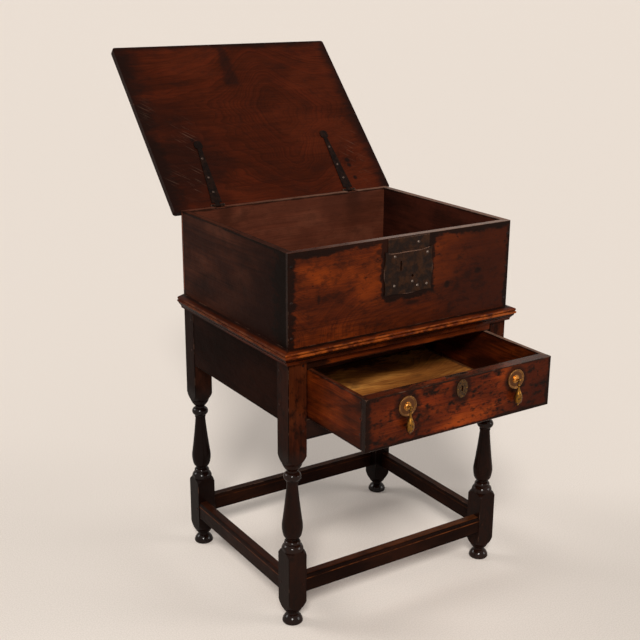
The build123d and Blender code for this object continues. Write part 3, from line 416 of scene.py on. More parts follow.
class Board(Finish):
    """The finish of one board, with its own axes and the patterns that its layers share."""

    def __init__(self, node, layout, heart, ring, lie, bounds):
        super().__init__("oak_" + node)
        self.x, self.y, self.z = parts = self.split(lie(self) if lie else self.place)
        self.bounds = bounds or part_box(node)
        self.edge = arris_distance(parts, self.bounds)
        self.axes = board_axes(layout, parts)
        self.number = PIECE_NUMBERS[node]
        wood = timber(self, self.axes, self.number, heart, ring)
        self.rings, self.years, self.pores, self.streaks = wood
        self.clouds = drawn_out(self, self.axes, 5.5, 11.0, (self.number, 0, 0), 3.0, 0.55)
        self.mottle = drawn_out(self, self.axes, 28.0, 55.0, (0, self.number, 0), 5.0, 0.68)
        self.stains = drawn_out(self, self.axes, 12.0, 22.0, (0, 0, self.number), 4.0, 0.6)
        self.ragged = (self.clouds - 0.5) * 1.8 + (self.mottle - 0.5) * 2.4


def band(board, side, reach, soft):
    """1 along one side of the piece, such as "x-" or "z+", fading out ragged by `reach`."""
    axis = "xyz".index(side[0])
    value = (board.x, board.y, board.z)[axis]
    low, high = board.bounds[0][axis], board.bounds[1][axis]
    away = high - value if side[1] == "+" else value - low
    return (away + board.ragged * reach * (1.4 - soft)).ramp(reach, reach * (1 - soft))


# %% [markdown]
# ## Waxed oak
#
# On top of the timber come the years. Smoke, dirt and wax gather in a black skin that is thickest
# along the edges and in patches, hands rub the colour through in the middle of a board, and the
# very edge is bruised to a dull grey-brown. One could paint all this by hand on each board. It is
# built in layers instead, in the order in which they came: grain, dirt, skin, bruises. Then each
# board only says how much of each layer it has. Where the skin lies it is smoother than the bare
# wood, so the shine is uneven too.

# %% Grain and dirt
def grain_color(board, body, dark, light, grain, figure, depth):
    """The body colour with bands, streaks, rings and clouds in a darker and a lighter one."""
    color = board.stain(board.years * (0.6 * grain), paint(body), dark)
    color = board.stain(board.streaks * (0.4 * grain), color, light)
    color = board.stain(board.rings * (0.55 * figure), color, dark)
    color = board.stain(board.clouds.ramp(0.56, 0.36) * (0.6 * depth), color, dark)
    return board.stain(board.clouds.ramp(0.50, 0.66) * (0.5 * depth), color, light)


def gathered_dirt(board, color, skin, grain, smudge, grime):
    """Dirt in the pores, in smudges and in blots the size of a pea."""
    color = board.stain(board.pores * (0.5 * grain), color, skin)
    color = board.stain(board.stains.ramp(0.52, 0.74) * smudge, color, skin)
    blots = drawn_out(board, board.axes, 45.0, 75.0, (0, 0, board.number), 4.0, 0.7)
    return board.stain((blots + board.stains * 0.4).ramp(0.66, 0.88) * grime, color, skin)


print("grain first, then dirt")

# %% Black skin and bruises
BRUISE_WIDTH = 0.0018


def black_skin(board, reach, patchy, bands, soft, flecks, marks):
    """How black the skin is: along edges, in patches, along chosen sides, in flecks and marks."""
    black = (board.edge + board.ragged * reach * 0.7).ramp(reach, reach * 0.3)
    start = 0.78 - 0.3 * patchy
    black = black.most(board.mottle.ramp(start, start + 0.06) * 0.7)
    for side, width in (bands or {}).items():
        black = black.most(band(board, side, width, soft))
    if flecks:
        specks = drawn_out(board, board.axes, 60.0, 90.0, (0, 0, board.number), 3.0, 0.6)
        start = 0.93 - 0.11 * flecks
        black = black.most((specks + board.clouds * 0.4).ramp(start, start + 0.07) * 0.8)
    if marks:
        black = black.most(marks(board))
    return black


def bruised_edge(board, share):
    """Where the very edge has been knocked through the skin."""
    start = 0.62 - 0.3 * share
    return board.edge.ramp(BRUISE_WIDTH, BRUISE_WIDTH * 0.3) * board.mottle.ramp(start, start + 0.10)


def oak_relief(board):
    """Shallow dents, and on them the fine relief of streaks and pores."""
    dents = drawn_out(board, board.axes, 22.0, 30.0, (0, board.number, 0), 3.0, 0.6)
    return board.bump(board.streaks - board.pores, 0.00012, 0.7, board.bump(dents, 0.0022, 0.5))


print("bruises are", BRUISE_WIDTH * 1000, "mm wide")

# %% Waxed oak finish
FLAT_CUT = (0.02, 0.06, 0.1, 0.02)
COAT_ROUGHNESS = 0.07


def waxed_oak(node, layout, body, dark, light, skin, heart=FLAT_CUT, ring=RING_WIDTH, grain=1.0,
              figure=0.8, depth=1.0, shade=None, smudge=0.35, grime=0.2, reach=0.006, patchy=0.25,
              bands=None, soft=0.5, flecks=0.0, marks=None, bruise="4f382c", bruise_share=0.4,
              touch=None, shine=0.34, gloss=0.05, polish=None, lie=None, bounds=None):
    """A waxed board, built up from the layers above.

    Timber: where its `heart` is, how wide a `ring` is, and how strong `grain`, `figure` and `depth`
    of colour are. Dirt: how much `smudge` and `grime`. Black skin: how far it comes in from the
    edges (`reach`), how `patchy` it is, how wide its `bands` along chosen sides are and how `soft`,
    how many `flecks` it has. `shine` is the roughness and `gloss` how much the surface mirrors.
    `shade`, `marks` and `polish` are functions that give a mask for the board: where the wood is
    darker, the skin black, the polish thick. `touch` lays a last colour over the one it is given.
    """
    board = Board(node, layout, heart, ring, lie, bounds)
    color = grain_color(board, body, dark, light, grain, figure, depth)
    if shade:
        color = board.stain(shade(board), color, dark)
    color = gathered_dirt(board, color, skin, grain, smudge, grime)
    black = black_skin(board, reach, patchy, bands, soft, flecks, marks)
    color = board.stain(black * 0.92, color, skin)
    worn = bruised_edge(board, bruise_share)
    color = board.stain(worn * 0.75, color, bruise)
    if touch:
        color = touch(board, color)
    rough = shine + board.pores * 0.12 + worn * 0.2 - black * 0.05 + (board.mottle - 0.5) * 0.2
    coat = {"Coat_Weight": polish(board), "Coat_Roughness": COAT_ROUGHNESS} if polish else {}
    return board.surface(color, rough, oak_relief(board), Specular_IOR_Level=gloss, **coat)


def wear(node, make, *details, **choices):
    """Make a finish for a piece and put it on."""
    material = make(node, *details, **choices)
    nodes[node].data.materials.clear()
    nodes[node].data.materials.append(material)


print("a ring, a streak and a pore, then dirt, black skin and bruises")

# %% [markdown]
# ## Five colours of oak
#
# It is all the same oak, but it has aged in five ways. The front is the show side, waxed and
# rubbed until it glows orange. The floor of the box and the mouldings at the sides are a browner
# red. What stood against walls and in smoke went nearly black, and the same near-black is painted
# shade on the back legs, the back frieze and the rail under the drawer. Insides never saw wax and
# stayed a dull red-brown; its lighter tone also paints the sheen on the inside of the back. The
# drawer's floor is still golden. Each palette gives a body colour, a darker and a lighter one for
# the grain, and the black skin. Naming them once keeps neighbours alike. A few single boards have
# colours of their own.

# %% Palettes
HOT = {"body": "531e09", "dark": "2f1006", "light": "8a390c", "skin": "120906"}
RED_BROWN = {"body": "3f1608", "dark": "290e05", "light": "5a2510", "skin": "170c09"}
# Soot, and painted shade on the parts that lie in shadow.
SOOT_AND_SHADE = {"body": "231009", "dark": "160906", "light": "351a10", "skin": "0c0605"}
# Dull red-brown, its lighter tone partly painted sheen.
INSIDE = {"body": "5a2c1d", "dark": "432116", "light": "6e3d2b", "skin": "26140d"}
# Lighter than the bare wood, to make up for the shade in the drawer: partly painted light.
GOLDEN = {"body": "bd702e", "dark": "713c19", "light": "eaa652", "skin": "4a2c1a"}
PALE_EDGE = "80604f"
RUBBED_BROWN = "452114"
print("palettes", ["#" + palette["body"] for palette in (HOT, RED_BROWN, SOOT_AND_SHADE, INSIDE, GOLDEN)])

# %% [markdown]
# ## Bare edges, faces and ovals
#
# The lid has knocked the wax off the top edges of the box, and they show as a pale line. So do the
# drawer's. The line turns paler towards the right, and that paleness is painted highlight. A
# separate pale material on those faces would end too sharply, so the line is a touch laid on by
# height. Other marks belong to one face only, and `at_face` keeps them there. Old knocks and
# stains are ovals, and `spot` measures the distance from one.

# %% Bare tops, faces and ovals
BARE_DOWN = (0.0010, 0.0003)
# Where bare tops turn from brown at the left to pale at the right: the paler right is painted
# highlight.
HIGHLIGHT_SIDE = (-0.36, 0.24)


def bare_top(share=0.6, color=PALE_EDGE):
    """Wax knocked off the upper face, turning paler to the right, where the paleness is painted
    highlight.
    """
    def touch(board, under):
        top = board.bounds[1][2]
        # Painted highlight: the bare top grows paler towards the right.
        right = board.x.ramp(*HIGHLIGHT_SIDE)
        bare = board.mix(right, paint(RUBBED_BROWN), paint(color))
        worn = board.mottle.ramp(0.15, 0.65) * (right * 0.25 + 0.75)
        return board.mix(board.z.ramp(*[top - down for down in BARE_DOWN]) * worn * share, under, bare)
    return touch


def at_face(value, face, inward, depth=0.003):
    """1 on the face where `value` is `face`, 0 from `depth` behind it; inward is 1 or -1."""
    return value.ramp(face + inward * depth, face + inward * 0.001)


def spot(x, y, at, half):
    """Distance outside an oval at (x, y), in metres along its short side."""
    right = (x - at[0]) / half[0]
    up = (y - at[1]) / half[1]
    return ((right * right + up * up) ** 0.5 - 1) * min(half)


print("edges are bare down to", BARE_DOWN[0] * 1000, "mm")

# %% [markdown]
# ## The front board
#
# The front is darkest under the lid's edge, where hands with keys in them grabbed it, and round
# the lock plate, where polish and rust crept out over the wood. Below that it is brighter, more so
# at the left. Its own marks could be one more noise, but the eye knows such a board by its few big
# knocks, so five of them are given one by one.

# %% Front board
LOCK_LOW, LOCK_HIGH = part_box("lock_plate")
HALF_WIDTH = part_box("box_front")[1].x
HALF_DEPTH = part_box("box_back")[1].y
SHADE_HEIGHT = 0.75
# Each knock: where its middle is, and half its width and height.
KNOCKS = {(-0.225, 0.763): (0.003, 0.008), (0.023, 0.719): (0.017, 0.004),
          (0.118, 0.746): (0.006, 0.007), (0.208, 0.766): (0.008, 0.005),
          (-0.067, 0.845): (0.013, 0.007)}
FRONT_BANDS = {"z+": 0.018, "x-": 0.020, "x+": 0.014, "z-": 0.006}


def lock_shadow(board):
    """Black wax held round the lock plate and in the old knocks, on the outer face only."""
    outside = []
    for value, low, high in ((board.x, LOCK_LOW.x, LOCK_HIGH.x), (board.z, LOCK_LOW.z, LOCK_HIGH.z)):
        outside.append((value - (low + high) / 2).size() - (high - low) / 2)
    near = (outside[0].most(outside[1]) + board.ragged * 0.014).ramp(0.012, 0.006)
    for at, half in KNOCKS.items():
        knock = spot(board.x, board.z, at, half) + board.ragged * 0.003
        near = near.most(knock.ramp(0.003, -0.002) * 0.8)
    return near * at_face(board.y, -HALF_DEPTH, 1)


def bare_top_dull_inside(board, under):
    """The inner face of the front board never got the show side's polish."""
    dull = at_face(board.y, board.bounds[1][1], -1) * (0.7 + board.mottle * 0.3)
    return bare_top(0.85)(board, board.stain(dull, under, "4c2418"))


def dim_right(board):
    """The front is brightest at the left and darkens towards the lower right."""
    return (board.x - (board.z - SHADE_HEIGHT) * 0.5).ramp(-0.19, 0.24) * 0.9


wear("box_front", waxed_oak, "xzy", **HOT, heart=(0.665, 0.04, -0.24, 0.05), ring=0.0028, figure=1.0,
     shade=dim_right, grime=0.5, patchy=0.3, bands=FRONT_BANDS, flecks=0.6, marks=lock_shadow,
     bruise_share=0.2, touch=bare_top_dull_inside)
print("the front board, with", len(KNOCKS), "knocks")

# %% [markdown]
# ## The back, the sides and the floor of the box
#
# Inside, the back board shows two stains where rust ran down from the hinges, and outside it went
# as dark as what it stood against. Both faces belong to one solid and so to one material, and a
# step through the thickness keeps them apart. The left side is painted darker in front and at the
# bottom, so that its rear top looks lighter: painted sheen.

# %% Back board
HINGE_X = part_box("hinge_leaf_right")[0].x + 0.02
RUST_HALF_WIDTH = 0.035
RUST_HEIGHTS = (0.76, 0.86)


def hinge_stains(board):
    """Rust that has run down the inside of the back below the two hinges."""
    beside = (board.x.size() - HINGE_X).size() + board.ragged * 0.02
    inside = board.y.ramp(HALF_DEPTH - 0.008, HALF_DEPTH - 0.014)
    return beside.ramp(RUST_HALF_WIDTH, 0.0) * board.z.ramp(*RUST_HEIGHTS) * inside * 0.55


def smoked_outside(board):
    """The back's outer face stood against a wall and went as dark as the sides."""
    outer = at_face(board.y, HALF_DEPTH, -1, 0.002) * (0.75 + board.ragged * 0.1)
    return hinge_stains(board).most(outer)


# The inside's lighter red-brown is partly painted sheen.
wear("box_back", waxed_oak, "xzy", **INSIDE, bands={"z-": 0.03}, marks=smoked_outside, shine=0.5,
     touch=bare_top())
print("rust below hinges at x =", round(HINGE_X, 3))


# %% Sides and floor
def left_sheen_shade(board):
    """Painted sheen: the left side is darker in front and at the bottom, so its rear top stays
    lighter.
    """
    return (board.y + (board.z - SHADE_HEIGHT) * 1.2).ramp(0.20, -0.20) * 0.9


# Painted sheen: the left side is darkened in front and low, leaving its rear top lighter.
wear("box_left", waxed_oak, "yzx", body="35190f", dark="180b08", light="4a291d", skin="0d0705",
     shade=left_sheen_shade, bands={"y-": 0.05}, patchy=0.4, bruise="35251e", gloss=0.015, shine=0.5,
     touch=bare_top(0.5, "44302a"))
wear("box_right", waxed_oak, "yzx", body="32150d", dark="220e08", light="451e13", skin="140a07",
     shine=0.5, touch=bare_top())
wear("box_floor", waxed_oak, "xyz", **RED_BROWN, shine=0.55)
print("two sides and a floor")

# %% [markdown]
# ## Rails, friezes and stretchers
#
# The rail above the drawer belongs to the front and shares its colour. The friezes and the
# stretchers were kicked and smoked and are nearly black, and on the friezes that near-black is
# also painted shade. Feet have worn the stretchers brown on top and along the ridge below the
# groove of their moulding, most of all in front and on the left; the line on the ridge is also a
# painted highlight. Wear on a ridge could be found from the shape, but the ridge lies at one height
# all the way, so a thin line at that height does it.

# %% Stretchers
RIDGE_DOWN = 0.0103
RIDGE_LINE = (0.0016, 0.0006)
FOOT_WORN = "6b3a1c"
WEAR_AND_HIGHLIGHT = {"front": 1.0, "left": 0.8, "back": 0.3, "right": 0.3}


def worn_and_highlit_stretcher(share):
    """Worn brown on top, and a line along the ridge below the groove of the scratch moulding: wear and
    painted highlight.
    """
    bare = bare_top(0.55 * share, FOOT_WORN)

    def touch(board, under):
        away = (board.z - board.bounds[1][2] + RIDGE_DOWN).size()
        # Wear and painted highlight: a brown line along the ridge.
        line = away.ramp(*RIDGE_LINE) * board.mottle.ramp(0.30, 0.62) * 0.8 * share
        return board.stain(line, bare(board, under), "6b3818")
    return touch


for side, share in WEAR_AND_HIGHLIGHT.items():
    layout = "xzy" if side in ("front", "back") else "yzx"
    wear("stretcher_" + side, waxed_oak, layout, body="1a0c07", dark="110705", light="2a140b",
         skin="0b0504", reach=0.004, gloss=0.02, touch=worn_and_highlit_stretcher(share))
print(len(WEAR_AND_HIGHLIGHT), "stretchers")

# %% Rails, friezes and drawer ways
wear("top_rail", waxed_oak, "xzy", **HOT, patchy=0.45, reach=0.004, bands={"x-": 0.09}, flecks=0.6)
# Painted shade as well as soot: the rail under the drawer and the back frieze lie in shadow.
wear("lower_rail", waxed_oak, "xzy", **SOOT_AND_SHADE)
wear("frieze_back", waxed_oak, "xzy", **SOOT_AND_SHADE, shine=0.5)
for side in ("left", "right"):
    # The friezes' near-black is soot and painted shade.
    wear("frieze_" + side, waxed_oak, "yzx", body="160805", dark="0e0503", light="200e08",
         skin="080402", gloss=0.006)
    for kind in ("runner_", "guide_", "kicker_"):
        wear(kind + side, waxed_oak, "yzx", **INSIDE, shine=0.6)
wear("frame_pegs", waxed_oak, "xyz", **SOOT_AND_SHADE, reach=0.001, shine=0.45)
print("rails, friezes, drawer ways and pegs")

# %% [markdown]
# ## The waist moulding
#
# A moulding hides the joint between box and stand. Dirt stays in its hollows and every duster rubs
# its beads. Blender can tell hollow from bead by ambient occlusion, but slowly and with noise. Here
# the profile is known, so colour simply follows how far a point stands out from the box, and how
# high it lies: black on the ledge and in the hollow, which is dirt and painted shade, and
# orange-brown on the beads.

# %% Moulding
MOULDING_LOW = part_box("moulding_front")[0].z
HOLLOW_UP = 0.012
LEDGE_OUT = (0.0115, 0.0045)
BEADS_OUT = (0.0150, 0.0172)


def standing_out(board):
    """How far a point projects from the box's faces."""
    return (board.x.size() - HALF_WIDTH).most(board.y.size() - HALF_DEPTH)


def hollow_dirt_and_shade(board):
    """Black in the hollow and on the ledge next to the box: dirt and painted shade."""
    # Dirt and painted shade in the hollow and in the crease beside the box.
    in_hollow = (board.z - MOULDING_LOW - HOLLOW_UP).size() + board.ragged * 0.002
    ledge = (standing_out(board) + board.ragged * 0.003).ramp(*LEDGE_OUT)
    return (in_hollow.ramp(0.006, 0.002) * 0.9).most(ledge)


def rubbed_beads(color):
    def touch(board, under):
        beads = standing_out(board).ramp(*BEADS_OUT) * board.mottle.ramp(0.42, 0.60)
        return board.stain(beads * 0.8, under, color)
    return touch


wear("moulding_front", waxed_oak, "xzy", **HOT, grime=0.5, reach=0.001, patchy=0.6, flecks=1.0,
     marks=hollow_dirt_and_shade, touch=rubbed_beads("984a18"))
for side in ("left", "right"):
    wear("moulding_" + side, waxed_oak, "yzx", **RED_BROWN, reach=0.001, patchy=0.5, marks=hollow_dirt_and_shade,
         touch=rubbed_beads("5e3018"), gloss=0.02)
print("three lengths of moulding")

# %% [markdown]
# ## The legs
#
# A turner burnishes the wood with shavings while it spins, and every later waxing keeps that shine
# on the rings and the feet. More gloss all over would turn the black wood grey, so the shine is a
# clear coat, thin in general and thick on the rings. The square parts of the front legs keep some
# of the front's red-brown, the turned parts are almost black, and so are the outer sides. The
# changes are soft masks by height and width, made ragged by the same noise as the skin.

# %% Legs
BLOCK_LOW = 0.43
RINGS = ((0.0, 0.022), (0.187, 0.208), (0.355, 0.374))
RING_FADE = 0.006
LEG_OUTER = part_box("leg_front_right")[1].x


def turned_dark(board):
    """Black from the upper square's end downwards."""
    height = board.z + board.ragged * 0.06
    return height.ramp(BLOCK_LOW + 0.06, BLOCK_LOW - 0.03) * (0.90 + board.ragged * 0.14)


def burnished(board):
    """A thin coat of polish below the upper square, a thick one on feet and rings."""
    coat = board.z.ramp(BLOCK_LOW + 0.01, BLOCK_LOW - 0.02) * 0.10 + 0.02
    for low, high in RINGS:
        middle, half = (low + high) / 2, (high - low) / 2
        coat = coat.most((board.z - middle).size().ramp(half + RING_FADE, half) * 0.3)
    return coat


def side_soot_and_shade(board):
    """The legs' outer side faces are as dark as the friezes between them: soot and painted shade."""
    return at_face(board.x.size(), LEG_OUTER, -1) * 0.9


for side in ("left", "right"):
    wear("leg_front_" + side, waxed_oak, "zxy", body="36140a", dark="200c06", light="55260f",
         skin="120906", shade=side_soot_and_shade, grime=0.8, reach=0.003, patchy=0.4, flecks=0.6,
         marks=turned_dark, bruise_share=0.3, polish=burnished, gloss=0.012)
    # Painted shade as well as soot: the back legs lie in shadow.
    wear("leg_back_" + side, waxed_oak, "zxy", **SOOT_AND_SHADE, shade=side_soot_and_shade, reach=0.003,
         marks=turned_dark, polish=burnished, gloss=0.01)
print("four legs")

# %% [markdown]
# ## The lid
#
# The lid stands open, so its grain has to be laid out as if it were shut. It could be shut for a
# moment and its points stored, but turning the point inside the finish is simpler: `shut` turns it
# back about the hinge line before anything else is done with it. On the inside one can read the
# lid's history: a soft black border where it rested on the box's edges, the ghost of a hasp that
# was once nailed near the front, old nail holes, smoke, and pale scratches where it was propped.

# %% Lid, shut
lid_hinge = next(joint for joint in frame["joints"] if joint["name"] == "lid_hinge")
HINGE_LINE = lid_hinge["pos_m"]
LID_OPEN = math.radians(lid_hinge["range_deg"][1])


def shut(finish):
    """The point turned back about the hinge line to where it lies when the lid is shut."""
    values = {"Vector": finish.place, "Center": HINGE_LINE, "Angle": LID_OPEN}
    return finish.node("ShaderNodeVectorRotate", {"rotation_type": "X_AXIS"}, values)


def shut_bounds(node):
    """Corners of the shut piece's bounding box."""
    hinge = Matrix.Translation(HINGE_LINE)
    turn = hinge @ Matrix.Rotation(LID_OPEN, 4, "X") @ hinge.inverted()
    points = [turn @ vertex.co for vertex in nodes[node].data.vertices]
    return [[pick(point[axis] for point in points) for axis in range(3)] for pick in (min, max)]


LID = shut_bounds("lid_board")
UNDERSIDE = LID[0][2]
print("lid, shut, reaches from y =", round(LID[0][1], 3), "to", round(LID[1][1], 3))

# %% Marks on the lid
GHOST_X = -0.014
GHOST_TOP = -0.225
GHOST_LENGTH = 0.12
GHOST_HALF_WIDTH = 0.012
GHOST_SPREAD = 0.06
NAIL_HOLES = ((0.221, 0.158), (0.220, 0.174), (0.2215, 0.213), (-0.198, 0.055))
NAIL_HOLE_HALF = (0.006, 0.006)
SMOKE = ((-0.24, 0.12), (0.09, 0.15))
# Where it was propped: the middle of each scratched place, and half its width and length.
PROPPED = {(-0.29, -0.04): (0.02, 0.03), (-0.21, 0.04): (0.03, 0.05), (-0.25, 0.17): (0.05, 0.05),
           (0.25, 0.13): (0.03, 0.08)}


def lid_marks(board):
    """Hasp ghost, old nail holes and a smoke stain on the inside of the lid."""
    from_top = board.y - GHOST_TOP
    half_width = from_top * GHOST_SPREAD + GHOST_HALF_WIDTH
    beside = (board.x - GHOST_X + from_top * GHOST_SPREAD).size() - half_width
    ghost = beside.most(from_top - GHOST_LENGTH) + board.ragged * 0.010
    black = ghost.ramp(0.010, -0.008) * 0.7
    for at in NAIL_HOLES:
        hole = spot(board.x, board.y, at, NAIL_HOLE_HALF) + board.ragged * 0.003
        black = black.most(hole.ramp(0.004, -0.002))
    smoke = spot(board.x, board.y, *SMOKE) + board.ragged * 0.04
    black = black.most(smoke.ramp(0.06, -0.06) * 0.7)
    return black * at_face(board.z, UNDERSIDE, 1)


def lid_scratches(board, under):
    """Pale slanting scratches near the left edge and round the right hinge."""
    slant = board.join(board.x * 14.0 + board.y * 9.0, board.y * 260.0 - board.x * 210.0, 0.0)
    near = None
    for at, half in PROPPED.items():
        here = spot(board.x, board.y, at, half).ramp(0.02, -0.02)
        near = here if near is None else near.most(here)
    lines = board.noise(slant, 1.0, 2.0).ramp(0.60, 0.70)
    return board.stain(lines * near * 0.22, under, PALE_EDGE)


print("one ghost,", len(NAIL_HOLES), "nail holes,", len(PROPPED), "scratched places")

# %% Lid board
LID_BANDS = {"x-": 0.085, "x+": 0.046, "y-": 0.024}
wear("lid_board", waxed_oak, "xyz", body="3f1508", dark="260d05", light="53210f", skin="170c09",
     heart=(0.003, 0.04, 0.076, 0.022), ring=0.0016, figure=1.0, depth=0.6, smudge=0.3, patchy=0.22,
     bands=LID_BANDS, soft=0.95, marks=lid_marks, bruise_share=0.1, touch=lid_scratches, shine=0.42,
     gloss=0.02, lie=shut, bounds=LID)
print("one wide board")

# %% [markdown]
# ## The drawer
#
# The drawer front is the most handled board of all and the reddest, but black round its brasses,
# where polish and dirt built up. Its sides run dry on their runners and are a dull orange with
# slanting dark streaks, and its floor is bare golden wood. The floor is darker at the back and
# along its edges, which is painted shadow, and its golden is brighter than the bare wood to make
# up for the shade it lies in. The same waxed oak makes all five boards, since only the amounts
# differ. What is their own are three small masks.

# %% Masks for the drawer
BRASS_SHADOW = 0.016
DRAWER_BRIGHT_X = -0.03


def dim_ends(board):
    """Brightest in the middle, between the handles, and darker towards both ends."""
    return (board.x - DRAWER_BRIGHT_X).size().ramp(0.09, 0.23) * 0.9


def round_brasses(board):
    """Metal polish and dirt, black round the two backplates and the keyhole plate."""
    black = None
    for node in ("rose_left", "scutcheon", "rose_right"):
        low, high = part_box(node)
        middle = ((low.x + high.x) / 2, (low.z + high.z) / 2)
        half = ((high.x - low.x) / 2, (high.z - low.z) / 2)
        near = spot(board.x, board.z, middle, half) + board.ragged * 0.005
        near = near.ramp(BRASS_SHADOW, BRASS_SHADOW / 4) * 0.85
        black = near if black is None else black.most(near)
    return black


def slanting_streaks(board):
    """Slanting dark streaks on a drawer side."""
    slant = board.join(board.y * 9.0 + board.z * 26.0, board.z * 8.0 - board.y * 3.0, board.x)
    return board.noise(slant, 1.0, 3.0, 0.6).ramp(0.44, 0.62) * 0.85


print("brasses darken the wood for", BRASS_SHADOW * 1000, "mm around")

# %% Drawer boards
wear("drawer_front", waxed_oak, "xzy", body="61200a", dark="330f05", light="9a4212", skin="150a06",
     depth=1.1, shade=dim_ends, smudge=0.85, grime=1.0, reach=0.004, patchy=0.5,
     bands={"x-": 0.016, "x+": 0.012, "z-": 0.008}, flecks=0.85, marks=round_brasses,
     bruise="5c4335", bruise_share=0.3, shine=0.28, touch=bare_top(0.35, "5a463c"))
# The right side's paler top edge is worn and also painted highlight.
for side, pale in (("left", "573522"), ("right", "8b6b59")):
    wear("drawer_side_" + side, waxed_oak, "yzx", body="581e09", dark="220b04", light="873b0e",
         skin="150805", shade=slanting_streaks, smudge=0.4, patchy=0.3, bands={"y+": 0.06}, flecks=0.5,
         shine=0.4, gloss=0.03, touch=bare_top(0.7, pale))
wear("drawer_back", waxed_oak, "xzy", **INSIDE, shine=0.6)
# Painted shadow: the wide dark edges and the dark band at the back of the drawer floor.
wear("drawer_floor", waxed_oak, "xyz", **GOLDEN, grain=1.2, figure=1.2, smudge=0.7, reach=0.012,
     patchy=0.05, bands={"y+": 0.05}, shine=0.6)
print("front, sides, back and floor")

# %% [markdown]
# ## Forged iron
#
# The smith's iron is black-brown: fire scale with rust in its pits, rubbed over with the same wax
# as the wood. It could be a real metal with a dark coat, but scale and wax let no metal through,
# so it is a plain dark surface, dimpled by the hammer, with paler edges where things rub. Only the
# nail heads on the lock plate and the hinges, which stand proudest, are worn down to metal.

# %% Iron
def forged_iron(node, base="1b100b", rust="321c0e", worn_share=0.4, gloss=0.08):
    """Dark waxed iron with rusty pits, paler where its edges are rubbed."""
    finish = Finish("iron_" + node)
    hammer = finish.noise(finish.place, 75.0)
    pits = finish.noise(finish.place, 420.0, 4.0, 0.7)
    edge = arris_distance(finish.split(finish.place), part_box(node))
    rubbed = (edge + (pits - 0.5) * 0.004).ramp(0.0022, 0.0) * worn_share
    color = finish.stain(hammer.ramp(0.40, 0.68), paint(base), rust)
    color = finish.stain(pits.ramp(0.50, 0.72) * 0.55, color, "0d0807")
    color = finish.stain(rubbed, color, "7a5c4e")
    normal = finish.bump(pits, 0.0004, 0.5, finish.bump(hammer, 0.0030, 0.6))
    return finish.surface(color, 0.30 + pits * 0.25, normal, Specular_IOR_Level=gloss)


def rubbed_iron(node, metal, brown):
    """Iron that stands proud and is rubbed: grey metal with brown left in the dimples."""
    finish = Finish("nail_" + node)
    pits = finish.noise(finish.place, 700.0, 3.0, 0.6)
    color = finish.stain(pits.ramp(0.42, 0.62), paint(metal), brown)
    return finish.surface(color, 0.34 + pits * 0.2, finish.bump(pits, 0.0004, 0.5), 0.8)


for node in ("lock_plate", "box_lock_case", "box_lock_bolt", "drawer_lock_case", "drawer_lock_bolt"):
    wear(node, forged_iron)
for side in ("left", "right"):
    wear("hinge_leaf_" + side, forged_iron)
    wear("hinge_pin_" + side, forged_iron)
    wear("hinge_strap_" + side, forged_iron, "0f0705", "1d0f09", 0.0, 0.04)
for node in ("box_nails", "drawer_nails"):
    wear(node, forged_iron, "110906", "24150f", 0.0)
wear("lock_plate_nails", rubbed_iron, "74665d", "33251e")
for node in ("strap_nails", "leaf_nails"):
    wear(node, rubbed_iron, "4d3d35", "24170f")
print("iron on", sum("iron" in m.name or "nail" in m.name for m in bpy.data.materials), "pieces")

# %% [markdown]
# ## The lip on the lock plate
#
# The smith folded the plate's upper part down over the lower one, and the fold ends in a raised
# lip: a wavy line a quarter of the way down, hammered unevenly and thin at both ends. A bump in the
# material would only fake it, and a line that catches the light has to be a real form. So it is a
# mesh: an oval cross-section, half sunk into the plate, carried along the line from station to
# station.

# %% Course of the lip
LIP_SPAN = (0.07, 0.93)
LIP_DOWN = 0.265
LIP_BOW = 0.03
LIP_WAVE = 0.006
LIP_MIDDLE = 0.45
END_SWELL = 0.12
HAMMERED = 0.14
LOCK_SIZE = LOCK_HIGH - LOCK_LOW


def lip_station(t):
    """Centre and swelling of the lip at t, which runs from 0 to 1 along it."""
    right = LIP_SPAN[0] + (LIP_SPAN[1] - LIP_SPAN[0]) * t
    bow = (right - LIP_MIDDLE) / LIP_MIDDLE
    down = LIP_DOWN - bow * bow * LIP_BOW + LIP_WAVE * math.sin(9.0 * t + 0.6)
    swell = END_SWELL + (1 - END_SWELL) * math.sin(math.pi * t) ** 0.5
    swell *= 1 + HAMMERED * math.sin(31.0 * t) * math.sin(13.0 * t)
    return (LOCK_LOW.x + LOCK_SIZE.x * right, LOCK_LOW.y, LOCK_HIGH.z - LOCK_SIZE.z * down), swell


print("the lip is", round(LOCK_SIZE.x * (LIP_SPAN[1] - LIP_SPAN[0]) * 1000), "mm wide")

# %% Lip
LIP_STATIONS = 48
LIP_SIDES = 10
LIP_PROUD = 0.0014
LIP_HALF_HEIGHT = 0.0017


def lip_mesh():
    """A tube of oval rings, closed at both ends."""
    corners, faces = [], []
    for station in range(LIP_STATIONS + 1):
        (x, y, z), swell = lip_station(station / LIP_STATIONS)
        for side in range(LIP_SIDES):
            turn = 2 * math.pi * side / LIP_SIDES
            proud, up = LIP_PROUD * math.cos(turn), LIP_HALF_HEIGHT * math.sin(turn)
            corners.append((x, y - proud * swell, z + up * swell))
    for first in range(0, LIP_STATIONS * LIP_SIDES, LIP_SIDES):
        for side in range(LIP_SIDES):
            a, b = first + side, first + (side + 1) % LIP_SIDES
            faces.append((b, a, a + LIP_SIDES, b + LIP_SIDES))
    last = LIP_STATIONS * LIP_SIDES
    faces += [tuple(range(LIP_SIDES)), tuple(range(last + LIP_SIDES - 1, last - 1, -1))]
    mesh = bpy.data.meshes.new("lock_plate_lip")
    mesh.from_pydata(corners, [], faces)
    mesh.shade_smooth()
    return mesh


mesh = lip_mesh()
mesh.materials.append(rubbed_iron("lock_plate_lip", "6e5040", "2c1b14"))
lip = bpy.data.objects.new("lock_plate_lip", mesh)
bpy.context.scene.collection.objects.link(lip)
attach(lip, "stand")
print(lip.name, "has", len(mesh.polygons), "faces")

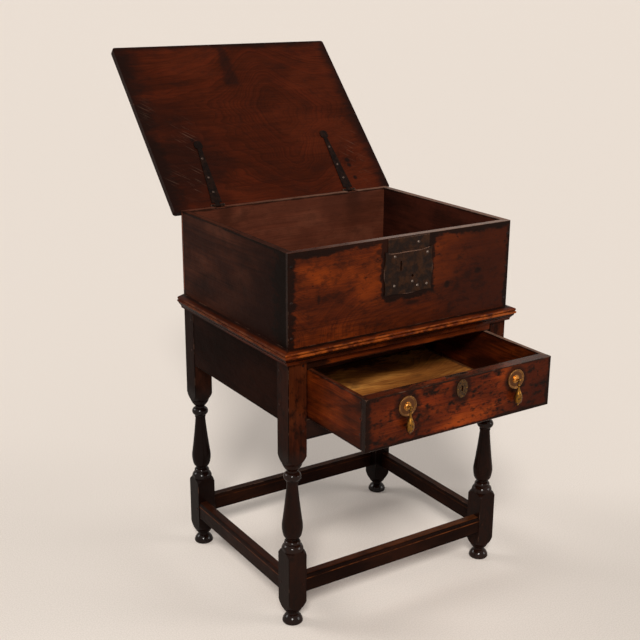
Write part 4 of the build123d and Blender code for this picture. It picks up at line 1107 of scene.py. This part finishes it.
# %% [markdown]
# ## Old brass
#
# The handles' plates and drops were cast and then turned or filed. Fingers keep a plate's boss and
# rim bright, while the hollow between them fills with brown tarnish and old polish. On a turned
# plate the hollow is a ring, so the mask needs no image: it is the distance from the plate's
# centre, measured on the drawer's face, with patches to break it up. The drops, the wires and the
# keyhole plate are only spotted.

# %% Brass
RING_EDGE = 0.0012


def ring_of_dirt(finish, node, spots, rings):
    """Dirt between two radii, patches that thicken outward, and how far out a point is."""
    low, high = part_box(node)
    x, y, z = finish.split(finish.place)
    right, up = x - (low.x + high.x) / 2, z - (low.z + high.z) / 2
    out = (right * right + up * up) ** 0.5 + (spots - 0.5) * 0.003
    inner, outer = rings
    dirt = out.ramp(inner, inner + RING_EDGE) * out.ramp(outer, outer - RING_EDGE)
    outward = out.ramp(inner, outer)
    patches = finish.noise(finish.place, 60.0, 2.0).ramp(0.46, 0.60) * outward * 0.8
    return dirt, patches, outward


def old_brass(node, bright, tarnish, share=0.5, rings=None, rim=None):
    """Tarnished brass, dark between the two radii in `rings` and of the colour `rim` beyond."""
    finish = Finish("brass_" + node)
    spots = finish.noise(finish.place, 230.0, 4.0, 0.65)
    start = 0.62 - 0.2 * share
    dark = spots.ramp(start, start + 0.12)
    metal = paint(bright)
    if rings:
        dirt, patches, outward = ring_of_dirt(finish, node, spots, rings)
        dark = dark.most(dirt).most(patches)
        metal = finish.stain(outward, metal, rim)
    color = finish.stain(dark, metal, tarnish)
    rough = 0.24 + spots * 0.2 + dark * 0.15
    normal = finish.bump(spots, 0.0005, 0.4)
    return finish.surface(color, rough, normal, 1.0 - dark * 0.9, Specular_IOR_Level=0.15)


for side in ("left", "right"):
    wear("rose_" + side, old_brass, "d19348", "4d2c12", 0.6, (0.0082, 0.0180), "94683a")
    wear("handle_wire_" + side, old_brass, "a9793c", "4a2f17")
    wear("handle_drop_" + side, old_brass, "835a22", "35210f", 0.7)
wear("scutcheon", old_brass, "5a4127", "24160a", 0.9)
wear("scutcheon_pins", old_brass, "a9793c", "4a2f17")
print("brass on", sum("brass" in m.name for m in bpy.data.materials), "pieces")

# %% [markdown]
